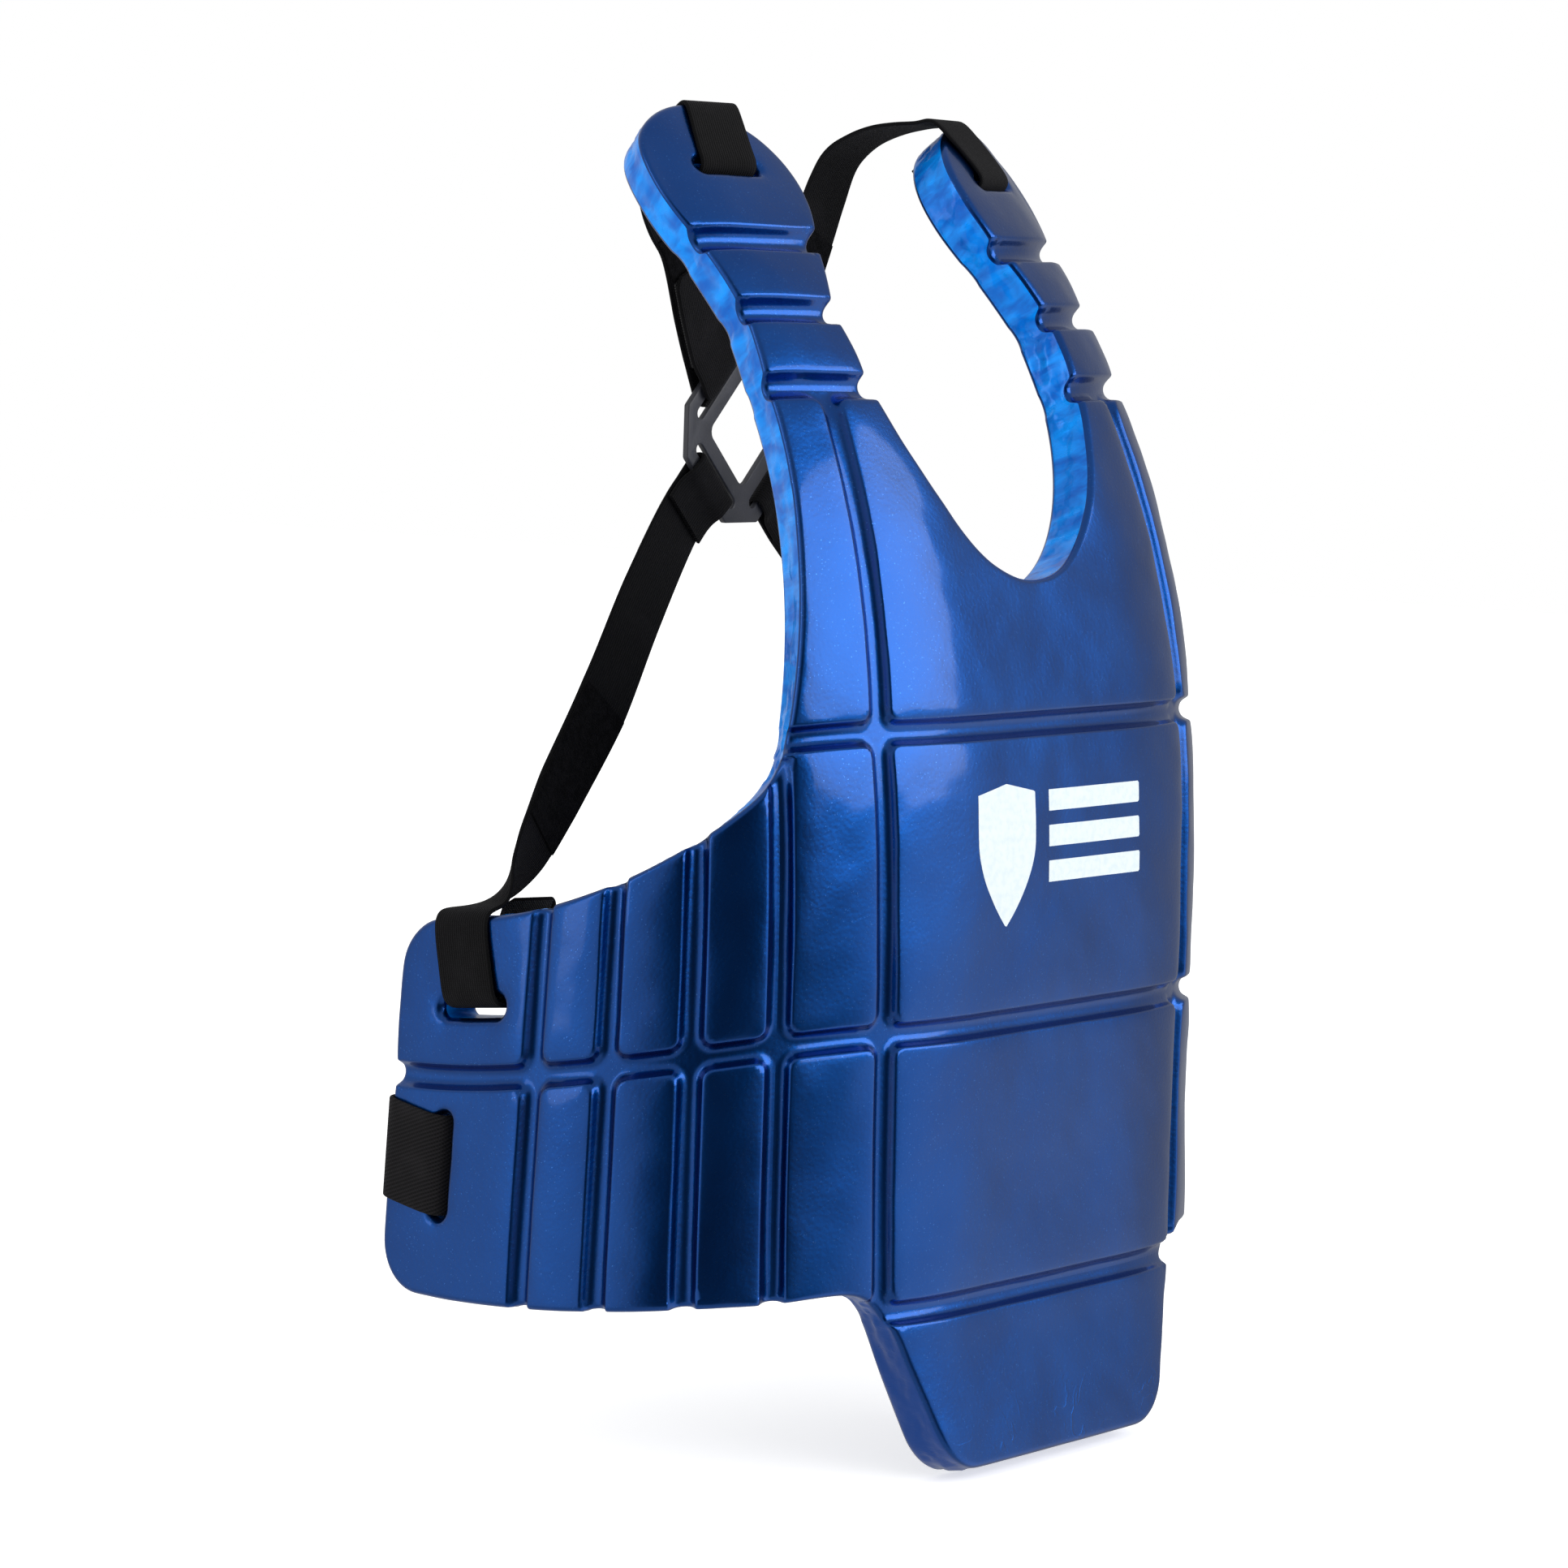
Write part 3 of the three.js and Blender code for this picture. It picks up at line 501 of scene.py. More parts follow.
def seams_for(steps, row_spots, column_spots):
    """The seams that part the pattern into regions, at the wing, the shoulder and the hip flap."""
    wing = [v for v in crossings(rim, WING_ROOT, 0) if v < NECK_BOTTOM]
    shoulder = crossings(rim, SHOULDER_ROOT, 1)
    hip = [u for u in crossings(rim, HIP_GROOVE, 1) if u > 0]
    return [seam_line(WING_ROOT, 0, steps, row_spots, wing[0], wing[-1]),
            seam_line(SHOULDER_ROOT, 1, steps, column_spots, shoulder[0], shoulder[-1]),
            seam_line(HIP_GROOVE, 1, steps, column_spots, 0.0, hip[0])]


def grid_spots(across, up):
    u, v = (x.ravel() for x in np.meshgrid(across, up))
    between_ends = (v > HIP_GROOVE) & (v < SHOULDER_ROOT)
    pull = np.where(between_ends, panel_seam(np.clip(v, HIP_GROOVE, SHOULDER_ROOT)) - PANEL_SEAM, 0)
    return np.stack([u + pull * np.interp(u, [40, 95, 125, 150], [0, 1, 1, 0]), v], 1)


def open_edges(faces):
    directed = {(a, b): None for f in faces for a, b in zip(f, f[1:] + f[:1])}
    return [(a, b) for a, b in directed if (b, a) not in directed]


def border_chains(points, faces):
    """The borders of a flat mesh as (chain of points, closed) pairs, without the one on the middle line."""
    following = {a: b for a, b in open_edges(faces) if not (points[a][0] < 1e-3 and points[b][0] < 1e-3)}
    chains, left = [], set(following)
    for start in list(left - set(following.values())) + sorted(left):
        if start not in left:
            continue
        chain = [start]
        left.discard(start)
        while following.get(chain[-1]) in left:
            chain.append(following[chain[-1]])
            left.discard(chain[-1])
        end = following.get(chain[-1])
        if end is not None and end != start:
            chain.append(end)
        chains.append((chain, end == start))
    return chains


def build_half():
    """The outer face, its border chains and the coarser inner face, which shares those borders."""
    seams = seams_for(EDGE_STEPS, rows, columns)
    top, top_faces, outline = flat_face(rim, holes, grid_spots(columns, rows), EDGE_STEPS, seams)
    borders = border_chains(top, top_faces)
    main = max((chain for chain, _ in borders), key=len)
    low_holes = [top[chain] for chain, _ in borders if chain is not main]
    low_columns = np.arange(0, REAR_EDGE + 1, INNER_STEP)
    low_rows = np.arange(-8 * INNER_STEP, TAB_TOP, INNER_STEP)
    low_steps = (0.0, 0.5, 1.8, 5.0)
    low_seams = seams_for(low_steps, low_rows, low_columns)
    low_spots = grid_spots(low_columns, low_rows)
    low, low_faces, _ = flat_face(top[main], low_holes, low_spots, low_steps, low_seams)
    return top, top_faces, borders, low, low_faces, outline


top, top_faces, borders, low, low_faces, outline = build_half()


def face_depth(points):
    """How far the outer skin lies below w = 0."""
    u, v = points[:, 0], points[:, 1]
    edge = segment_distance(points, *outline)
    e = pad_distance(u, v)
    depth = groove_depth(u, v) + fillet(edge, EDGE_ROUND)
    depth += 0.55 * np.exp(-np.clip(e - MOUTH, 0, None) / 4.5)
    depth += 0.5 * np.exp(-edge / 5)
    rims = np.min([segment_distance(points, *segments(hole, True)) for hole in holes], 0)
    depth += 1.3 * (1 - ramp(0, 3.2, rims))
    return depth - unevenness(u, v) * ramp(0, 9, e)


def wall_rows(chain, closed, top_depth):
    """Pattern points down the wall between the outer and the inner border, row by row."""
    line = top[chain]
    normal = edge_normals(line, closed)
    s = arc_lengths(line)
    fade = 0.3 if closed else np.minimum(ramp(0, 8, s), ramp(0, 8, s[-1] - s))
    rows_down = []
    for f in np.linspace(0, 1, 12)[1:-1]:
        depth = mix(top_depth, FOAM - BACK_ROUND, f)
        bumps = 0.34 * wall_swell(s, depth * 1.6) + 0.14 * wall_ripple(s, depth * 1.2)
        moved = line - normal * (bumps * fade * np.sin(math.pi * f) ** 0.6)[:, None]
        rows_down.append(np.column_stack([moved, -depth]))
    return rows_down


def assemble_half():
    """Points of the closed half guard, its faces, and an outer, wall or inner tag for each face."""
    top_depth = face_depth(top)
    low_depth = FOAM - fillet(segment_distance(low, *outline), BACK_ROUND)
    low_at, base = len(top), len(top) + len(low)
    points = [np.column_stack([top, -top_depth]), np.column_stack([low, -low_depth])]
    faces = [tuple(f) for f in top_faces] + [tuple(low_at + i for i in reversed(f)) for f in low_faces]
    tags = ["outer"] * len(top_faces) + ["inner"] * len(low_faces)
    low_index = {tuple(np.round(p, 3)): low_at + i for i, p in enumerate(low)}
    for chain, closed in borders:
        levels = [chain]
        for row in wall_rows(chain, closed, top_depth[chain]):
            levels.append(range(base, base + len(chain)))
            points.append(row)
            base += len(chain)
        levels.append([low_index[tuple(np.round(top[i], 3))] for i in chain])
        n = len(chain)
        for upper, lower in zip(levels, levels[1:]):
            for i in range(n if closed else n - 1):
                j = (i + 1) % n
                faces.append((upper[j], upper[i], lower[i], lower[j]))
                tags.append("wall")
    points = np.concatenate(points)
    points[np.abs(points[:, 0]) < 1e-3, 0] = 0
    return points, faces, tags


points, faces, tags = assemble_half()


# ---- foam pieces ----
def link(name, data):
    obj = bpy.data.objects.new(name, data)
    bpy.context.scene.collection.objects.link(obj)
    return obj


def make_mesh(name, points, faces, flat, materials, finish):
    """A mesh object whose point attribute flat holds its place in the flat pattern, in metres."""
    mesh = bpy.data.meshes.new(name)
    mesh.from_pydata(np.asarray(points).tolist(), [], faces)
    layer = mesh.attributes.new("flat", "FLOAT_VECTOR", "POINT")
    layer.data.foreach_set("vector", np.asarray(flat, np.float32).ravel())
    for material in materials:
        mesh.materials.append(material)
    edit_mesh(mesh, finish)
    return link(name, mesh)


def edit_mesh(mesh, finish):
    """Run finish on the mesh, with every face smooth and facing out."""
    bm = bmesh.new()
    bm.from_mesh(mesh)
    for f in bm.faces:
        f.smooth = True
    finish(bm)
    bmesh.ops.recalc_face_normals(bm, faces=bm.faces)
    bm.to_mesh(mesh)
    bm.free()


def sharpen(bm, degrees):
    bmesh.ops.recalc_face_normals(bm, faces=bm.faces)
    for e in bm.edges:
        e.smooth = e.calc_face_angle(0) < math.radians(degrees)


def merge_middle(points, faces):
    """Join the two halves' points on the middle line."""
    places, first_at = {}, []
    for i, p in enumerate(points):
        key = tuple(np.round(p, 3) + 0.0) if abs(p[0]) < 1e-3 else i
        first_at.append(places.setdefault(key, i))
    kept = sorted(set(first_at))
    new = {old: k for k, old in enumerate(kept)}
    return points[kept], [tuple(new[first_at[i]] for i in f) for f in faces]


def close_cuts(bm):
    """Fill the flat cuts where the foam is parted into regions, and drop slivers that lie on each other."""
    cut_edges = [e for e in bm.edges if e.is_boundary]
    for e in cut_edges:
        e.smooth = False
    bmesh.ops.holes_fill(bm, edges=cut_edges, sides=0)
    bmesh.ops.triangulate(bm, faces=bm.faces)
    by_corners = {}
    for f in bm.faces:
        f.smooth = True
        by_corners.setdefault(frozenset(v.index for v in f.verts), []).append(f)
    doubled = [f for group in by_corners.values() if len(group) > 1 for f in group]
    bmesh.ops.delete(bm, geom=doubled, context="FACES")


def foam_piece(name, chosen, sides):
    """One closed piece from the chosen faces of the half pattern, on one side or mirrored on both."""
    used = sorted({i for k in chosen for i in faces[k]})
    new = {old: k for k, old in enumerate(used)}
    piece_points = np.concatenate([points[used] * [side, 1, 1] for side in sides])
    piece_faces = []
    for half, side in enumerate(sides):
        for k in chosen:
            face = tuple(half * len(used) + new[i] for i in faces[k])
            piece_faces.append(face if side > 0 else face[::-1])
    if len(sides) > 1:
        piece_points, piece_faces = merge_middle(piece_points, piece_faces)
    wall = [int(tags[k] == "wall") for k in chosen] * len(sides)

    def finish(bm):
        for face, on_wall in zip(bm.faces, wall):
            face.material_index = on_wall
        close_cuts(bm)

    skins = (foam_blue, foam_edge)
    obj = make_mesh(name, bend(*piece_points.T), piece_faces, piece_points * MM, skins, finish)
    return obj


def region(f):
    u, v = points[list(f)].mean(0)[:2]
    if v < HIP_GROOVE and u < PANEL_SEAM + 15:
        return "hip"
    if v > SHOULDER_ROOT:
        return "shoulder"
    return "wing" if u > WING_ROOT else "chest"


# ---- materials ----
class Nodes:
    """A small helper for writing the node tree of a material or of the world."""
    def __init__(self, owner):
        self.owner = owner
        owner.use_nodes = True
        self.tree = owner.node_tree

    def add(self, kind, inputs=(), **settings):
        node = self.tree.nodes.new(kind)
        for key, value in settings.items():
            setattr(node, key, value)
        for key, value in dict(inputs).items():
            self.put(node.inputs[key], value)
        return node

    def put(self, socket, value):
        if isinstance(value, bpy.types.NodeSocket):
            self.tree.links.new(value, socket)
        else:
            socket.default_value = value

    def maths(self, operation, a, b=0.0):
        node = self.add("ShaderNodeMath", operation=operation)
        self.put(node.inputs[0], a)
        self.put(node.inputs[1], b)
        return node.outputs[0]

    def plus(self, a, b):
        return self.maths("ADD", a, b)

    def times(self, a, b):
        return self.maths("MULTIPLY", a, b)

    def wave(self, value, pitch):
        return self.maths("SINE", self.times(value, 2 * math.pi / pitch))

    def noise(self, place, scale, detail=2.0, rough=0.5, twist=0.0):
        inputs = {"Vector": place, "Scale": scale, "Detail": detail, "Roughness": rough, "Distortion": twist}
        return self.add("ShaderNodeTexNoise", inputs).outputs["Fac"]

    def cells(self, place, scale, feature="F1", output="Distance"):
        inputs = {"Vector": place, "Scale": scale}
        return self.add("ShaderNodeTexVoronoi", inputs, feature=feature).outputs[output]

    def flat(self):
        """The place in the flat pattern in metres: the whole vector, then its x and y."""
        place = self.add("ShaderNodeAttribute", attribute_name="flat").outputs["Vector"]
        split = self.add("ShaderNodeSeparateXYZ", {"Vector": place})
        return place, split.outputs["X"], split.outputs["Y"]

    def between(self, value, low, high, out_low=0.0, out_high=1.0, kind="SMOOTHSTEP"):
        node = self.add("ShaderNodeMapRange", interpolation_type=kind)
        names = ("Value", "From Min", "From Max", "To Min", "To Max")
        for key, x in zip(names, (value, low, high, out_low, out_high)):
            self.put(node.inputs[key], x)
        return node.outputs[0]

    def level(self, value, low, high, out_low, out_high):
        return self.between(value, low, high, out_low, out_high, "LINEAR")

    def blend(self, factor, a, b):
        a, b = ((*x, 1) if isinstance(x, tuple) else x for x in (a, b))
        return self.add("ShaderNodeMix", {0: factor, 6: a, 7: b}, data_type="RGBA").outputs[2]

    def finish(self, colour, rough, bump, **values):
        """Set the shader: bump is (height, distance, strength), and the rest are its sockets by name."""
        if bump:
            height = dict(zip(("Height", "Distance", "Strength"), bump))
            values["Normal"] = self.add("ShaderNodeBump", height).outputs[0]
        values.update(Base_Color=colour, Roughness=rough)
        for key, value in values.items():
            self.put(self.tree.nodes["Principled BSDF"].inputs[key.replace("_", " ")], value)
        return self.owner


def flat_material(name):
    """A new material's nodes, then its place in the flat pattern as Nodes.flat gives it."""
    n = Nodes(bpy.data.materials.new(name))
    return n, *n.flat()


def foam_material():
    """Pearl blue dipped skin: a metallic lacquer with fine grain, sparkle, and creases low on the flap."""
    n, flat, _, up = flat_material("coated_foam_blue")
    grain = n.cells(flat, 620.0, "SMOOTH_F1")
    drag = n.noise(flat, 90.0, 3.0, 0.6)
    cloud = n.noise(flat, 16.0, 3.0, 0.55)
    spark = n.between(n.cells(flat, 2600.0, output="Color"), 0.86, 1.0)
    base = n.blend(n.between(cloud, 0.3, 0.7), (0.0, 0.050, 0.245), (0.001, 0.060, 0.28))
    base = n.blend(n.times(spark, 0.5), base, (0.06, 0.25, 0.75))
    rough = n.plus(n.level(cloud, 0.25, 0.75, 0.27, 0.35), n.times(spark, -0.12))
    folds = n.maths("SUBTRACT", n.noise(flat, 38.0, 1.5, twist=1.6), 0.5)
    crease = n.times(n.between(n.maths("ABSOLUTE", folds), 0.025, 0.0), n.between(up, -0.034, -0.058))
    crease = n.times(crease, n.between(cloud, 0.46, 0.56))
    height = n.plus(n.plus(n.times(grain, 0.55), n.times(drag, 0.8)), n.times(n.noise(flat, 1500.0), 0.12))
    return n.finish(base, rough, (n.plus(height, crease), 0.0002, 0.5), Metallic=1.0, Coat_Weight=0.42,
                    Coat_Roughness=0.1, Specular_IOR_Level=0.5, IOR=1.5)


def edge_material():
    """The guard's cut edges: the same dip, thicker, paler and less even, streaked across the foam, with
    painted shade darkening them towards the bottom.
    """
    n, flat, _, up = flat_material("coated_foam_edge")
    streaked = n.add("ShaderNodeVectorMath", {0: flat, 1: (1.0, 1.0, 0.4)}, operation="MULTIPLY").outputs[0]
    lumps = n.noise(streaked, 110.0, 3.0, 0.55, 0.4)
    base = n.blend(n.between(lumps, 0.3, 0.72), (0.0, 0.11, 0.52), (0.001, 0.30, 0.96))
    # Painted shade: the cut edges turn darker from about 170 mm up the pattern down to the bottom of the
    # guard.
    base = n.blend(n.between(up, 0.17, -0.02), base, (0.0, 0.035, 0.19))
    height = n.plus(lumps, n.times(n.noise(flat, 900.0), 0.06))
    return n.finish(base, n.level(lumps, 0.3, 0.7, 0.34, 0.26), (height, 0.0009, 0.6), Metallic=0.25,
                    Coat_Weight=0.3, Coat_Roughness=0.08, Specular_IOR_Level=0.15, IOR=1.5)


def web_material(name, pitch, crest, shaded_valley, twill=0.0):
    """Woven elastic: ribs along the strap with short picks across them, leaning over where it is a twill. The
    dips between the ribs are painted darker as shade.
    """
    n, flat, across, along = flat_material(name)
    rib = n.wave(n.plus(across, n.times(along, twill)), pitch)
    pick = n.wave(along, pitch * 0.62)
    loose, worn = n.noise(flat, 900.0, 3.0), n.noise(flat, 60.0)
    weave = n.plus(n.times(rib, 0.34), n.times(n.times(pick, rib), 0.2))
    weave = n.plus(weave, n.times(loose, 0.35))
    # Painted shade: the weave is coloured darker in the dips between its ribs and lighter on their crests,
    # following the bump's height; the fine noise in it adds the fibres' own uneven tone.
    colour = n.blend(n.level(weave, -0.35, 0.75, 0.0, 1.0), shaded_valley, crest)
    colour = n.blend(n.between(worn, 0.45, 0.8, 0.0, 0.35), colour, tuple(1.7 * c for c in crest))
    return n.finish(colour, n.level(loose, 0.2, 0.8, 0.72, 0.95), (weave, 0.00035, 0.9), Sheen_Weight=0.05,
                    Sheen_Roughness=0.4, Sheen_Tint=(0.35, 0.35, 0.4, 1), Specular_IOR_Level=0.12)


def pile_material():
    n, flat, _, _ = flat_material("loop_pile_black")
    loops, nap = n.cells(flat, 1400.0), n.noise(flat, 260.0, 4.0, 0.7)
    colour = n.blend(n.between(nap, 0.35, 0.75), (0.0008, 0.0008, 0.001), (0.004, 0.0038, 0.0046))
    height = n.plus(n.times(loops, 0.5), nap)
    return n.finish(colour, n.level(loops, 0.1, 0.7, 0.85, 1.0), (height, 0.0007, 1.0), Sheen_Weight=0.03,
                    Sheen_Roughness=0.6, Sheen_Tint=(0.3, 0.3, 0.33, 1), Specular_IOR_Level=0.06)


def hook_material():
    n, flat, across, along = flat_material("hook_tape_black")
    hooks = n.times(n.wave(across, 0.0013), n.wave(along, 0.0011))
    # Painted highlight and shade: the tape is coloured lighter on the hooks and darker between them,
    # following the bump's pattern.
    colour = n.blend(n.between(hooks, -0.2, 0.8), (0.004, 0.004, 0.005), (0.022, 0.022, 0.025))
    rough = n.level(n.noise(flat, 700.0), 0.3, 0.7, 0.4, 0.65)
    return n.finish(colour, rough, (hooks, 0.0006, 1.0), Specular_IOR_Level=0.5)


def plate_material():
    n = Nodes(bpy.data.materials.new("back_plate_charcoal"))
    place = n.add("ShaderNodeTexCoord").outputs["Object"]
    cloud, scuff = n.noise(place, 45.0, 4.0, 0.6), n.noise(place, 380.0, twist=1.5)
    colour = n.blend(n.between(cloud, 0.3, 0.7), (0.016, 0.017, 0.022), (0.027, 0.028, 0.036))
    colour = n.blend(n.between(scuff, 0.68, 0.8, 0.0, 0.3), colour, (0.07, 0.07, 0.08))
    grain = n.cells(place, 1900.0, "SMOOTH_F1")
    rough = n.level(cloud, 0.2, 0.8, 0.42, 0.56)
    return n.finish(colour, rough, (grain, 0.00008, 0.6), Specular_IOR_Level=0.5)


def print_material():
    n, flat, _, _ = flat_material("emblem_white_print")
    blot = n.noise(flat, 300.0, 4.0)
    colour = n.blend(n.between(blot, 0.35, 0.75), (0.50, 0.55, 0.59), (0.44, 0.51, 0.57))
    grain = n.cells(flat, 620.0, "SMOOTH_F1")
    return n.finish(colour, n.level(blot, 0.3, 0.7, 0.38, 0.5), (grain, 0.0002, 0.4), Specular_IOR_Level=0.5)


foam_blue, foam_edge = foam_material(), edge_material()
ribbed_black = web_material("ribbed_elastic_black", 0.00125, crest=(0.0045, 0.0043, 0.005),
                            shaded_valley=(0.0006, 0.0006, 0.0007))
waist_black = web_material("waist_elastic_black", 0.0017, crest=(0.013, 0.012, 0.0135),
                           shaded_valley=(0.0018, 0.0018, 0.002), twill=0.55)
pile_black, hook_black, plate_grey = pile_material(), hook_material(), plate_material()
print_white = print_material()


# ---- the foam guard ----
def mid_foam(u, v):
    """A place halfway through the foam."""
    return tuple(float(x) for x in bend(u, v, -FOAM / 2))


by_region = {"hip": [], "shoulder": [], "wing": [], "chest": []}
for index, f in enumerate(faces):
    by_region[region(f)].append(index)

chest = foam_piece("foam_chest", by_region["chest"], (-1, 1))
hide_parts("front_panel")
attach(chest, "chest")

hip = foam_piece("foam_hip_flap", by_region["hip"], (-1, 1))
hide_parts("hip_flap")
mid_foam(0, -1)
mid_foam(0, -11)
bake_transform(hip)

for name, side in SIDES:
    wing = foam_piece(f"foam_{name}_wing", by_region["wing"], (side,))
    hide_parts(*(f"{name}_wing_strip_{i}" for i in (1, 2, 3)), f"{name}_rear_panel")
    mid_foam(side * 172, WAIST_GROOVE)
    mid_foam(side * 266, WAIST_GROOVE)
    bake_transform(wing)
    shoulder = foam_piece(f"foam_{name}_shoulder", by_region["shoulder"], (side,))
    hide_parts(f"{name}_shoulder_link_1", f"{name}_shoulder_link_2", f"{name}_shoulder_tab")
    mid_foam(side * TAB_MIDDLE, 395)
    mid_foam(side * TAB_MIDDLE, SHOULDER_END)
    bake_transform(shoulder)


# ---- printed mark ----
def print_patch(loop):
    """The outline of a flat print and the triangles inside it, in pattern millimetres."""
    closed = np.array([*loop, loop[0]], float)
    length = arc_lengths(closed)[-1]
    ring = resample(closed, np.linspace(0, length, max(12, int(length / 1.5)) + 1)[:-1])
    across, up = (np.arange(low, high, 2.5) for low, high in zip(ring.min(0), ring.max(0)))
    inner = np.stack([x.ravel() for x in np.meshgrid(across, up)], 1)
    clear = segment_distance(inner, *segments(ring, True)) > 0.8
    inner = inner[clear & inside(inner, ring)]
    spots, triangles = triangulate(np.concatenate([ring, inner]), loop_edges(0, len(ring)))
    return spots, [f for f in triangles if inside(spots[list(f)].mean(0)[None], ring)[0]]


def decal(name, loops, lift, sunk, material):
    """A thin closed print on the centre panel, laid on the skin."""
    all_points, all_faces, base = [], [], 0
    for loop in loops:
        spots, triangles = print_patch(loop)
        w = -face_depth(np.abs(spots * [1, 0]) + spots * [0, 1])
        all_points += [np.column_stack([spots, w + lift]), np.column_stack([spots, w - sunk])]
        n = len(spots)
        all_faces += [tuple(base + i for i in f) for f in triangles]
        all_faces += [tuple(base + n + i for i in reversed(f)) for f in triangles]
        all_faces += [(base + b, base + a, base + n + a, base + n + b) for a, b in open_edges(triangles)]
        base += 2 * n
    all_points = np.concatenate(all_points)

    def finish(bm):
        bmesh.ops.delete(bm, geom=[v for v in bm.verts if not v.link_faces], context="VERTS")
        sharpen(bm, 40)

    return make_mesh(name, bend(*all_points.T), all_faces, all_points * MM, (material,), finish)


def shield(cx, top_v, wide, high):
    """Outline of a plain shield: straight shoulders and two arcs that meet in a point."""
    side_run = 0.38 * high
    sweep = [(wide / 2 * (1 - t ** 1.8), -side_run - (high - side_run) * t) for t in np.linspace(0, 0.95, 12)]
    loop = [(-wide / 2, 0), (0, 0.07 * high), (wide / 2, 0), *sweep, (0, -high)]
    loop += [(-x, y) for x, y in reversed(sweep)]
    return [(cx + x, top_v + y) for x, y in loop]


def stripe(top_v, left=-8, right=62, high=9):
    return [(left, top_v - high), (right, top_v - high), (right, top_v), (left, top_v)]


mark_loops = [shield(-39, 211, 41, 56)] + [stripe(v) for v in (211, 196, 181)]
emblem = decal("printed_mark", mark_loops, 0.12, 0.3, print_white)
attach(emblem, "chest")


# ---- ribbons ----
FINE, COARSE = 0.0012, 0.0015   # steps along a strap, in metres
SLOT_KNOTS = 8                  # knots of the shoulder elastic inside the plate's slot
STITCHED, UNDER_LOOPS, UNDER_HOOKS = 36, 42, 26   # stations from the slot up to each part's far end


def catmull(knots, t):
    """Points of a centripetal Catmull-Rom curve through the knots, with t from 0 to 1."""
    knots = np.asarray(knots, float)
    n = len(knots)
    full = np.concatenate([[2 * knots[0] - knots[1]], knots, [2 * knots[-1] - knots[-2]]])
    at = np.asarray(t, float) * (n - 1)
    i = np.minimum(at.astype(int), n - 2)
    f = (at - i)[:, None]
    p0, p1, p2, p3 = (full[i + k] for k in range(4))
    d0, d1, d2 = (np.maximum(np.linalg.norm(b - a, axis=1, keepdims=True) ** 0.5, 1e-4)
                  for a, b in ((p0, p1), (p1, p2), (p2, p3)))
    t1 = ((p1 - p0) / d0 - (p2 - p0) / (d0 + d1) + (p2 - p1) / d1) * d1
    t2 = ((p2 - p1) / d1 - (p3 - p1) / (d1 + d2) + (p3 - p2) / d2) * d1
    return p1 + t1 * f + (-3 * p1 + 3 * p2 - 2 * t1 - t2) * f ** 2 + (2 * p1 - 2 * p2 + t1 + t2) * f ** 3


def free_path(side, knots, steps):
    """Middle points and across directions of a free strap, in metres, from (place, across) knots."""
    knot_places, knot_across = (np.array(part, float) for part in zip(*knots))
    last = len(knots) - 1
    t = np.linspace(0, 1, steps * last + 1)
    middle = catmull(knot_places, t)
    across = unit(resample_at(knot_across, np.arange(last + 1), t * last))
    return (middle * [side, 1, 1] - CENTRE) * MM, across * [side, 1, 1]


def guard_path(side, route, steps, fixed, width, upright=True):
    """A strap that lies on the guard: (v, w, shift) spots at a fixed u, or (u, w, shift) at a fixed v."""
    route = np.array([(*spot, 0.0)[:3] for spot in route], float)
    run, w, shift = catmull(route, np.linspace(0, 1, steps * (len(route) - 1) + 1)).T
    edges = [fixed + shift + d for d in (-width / 2, width / 2)]
    low, high = (bend(side * edge, run, w) if upright else bend(side * run, edge, w) for edge in edges)
    return (low + high) / 2, unit(high - low)


def unit(directions):
    return directions / np.linalg.norm(directions, axis=1, keepdims=True)


def face_normals(path):
    return unit(np.cross(np.gradient(path[0], axis=0), path[1]))


def even_out(path, step=FINE):
    """The same strap with stations a steady step apart."""
    s = arc_lengths(path[0])
    at = np.linspace(0, s[-1], max(2, int(round(s[-1] / step)) + 1))
    middle, across = (resample_at(part, s, at) for part in path)
    return middle, unit(across)


def smooth_path(path, sigma):
    """The same strap with its turns eased."""
    reach = int(sigma * 3) + 1
    both = np.concatenate(path, 1)
    before, after = 2 * both[0] - both[1:reach + 1][::-1], 2 * both[-1] - both[-reach - 1:-1][::-1]
    both = blur(both, sigma, before, after)
    return both[:, :3], unit(both[:, 3:])


def strap_section(width, thickness, columns_across):
    """A flat section with half-round edges, as a closed loop."""
    r = thickness / 2
    flat_half = width / 2 - r
    flat = np.linspace(-flat_half, flat_half, columns_across)
    edge = [(flat_half + r * math.sin(t), r * math.cos(t)) for t in np.linspace(0, math.pi, 7)[1:-1]]
    half = np.array([(x, r) for x in flat] + edge)
    return np.concatenate([half, -half])


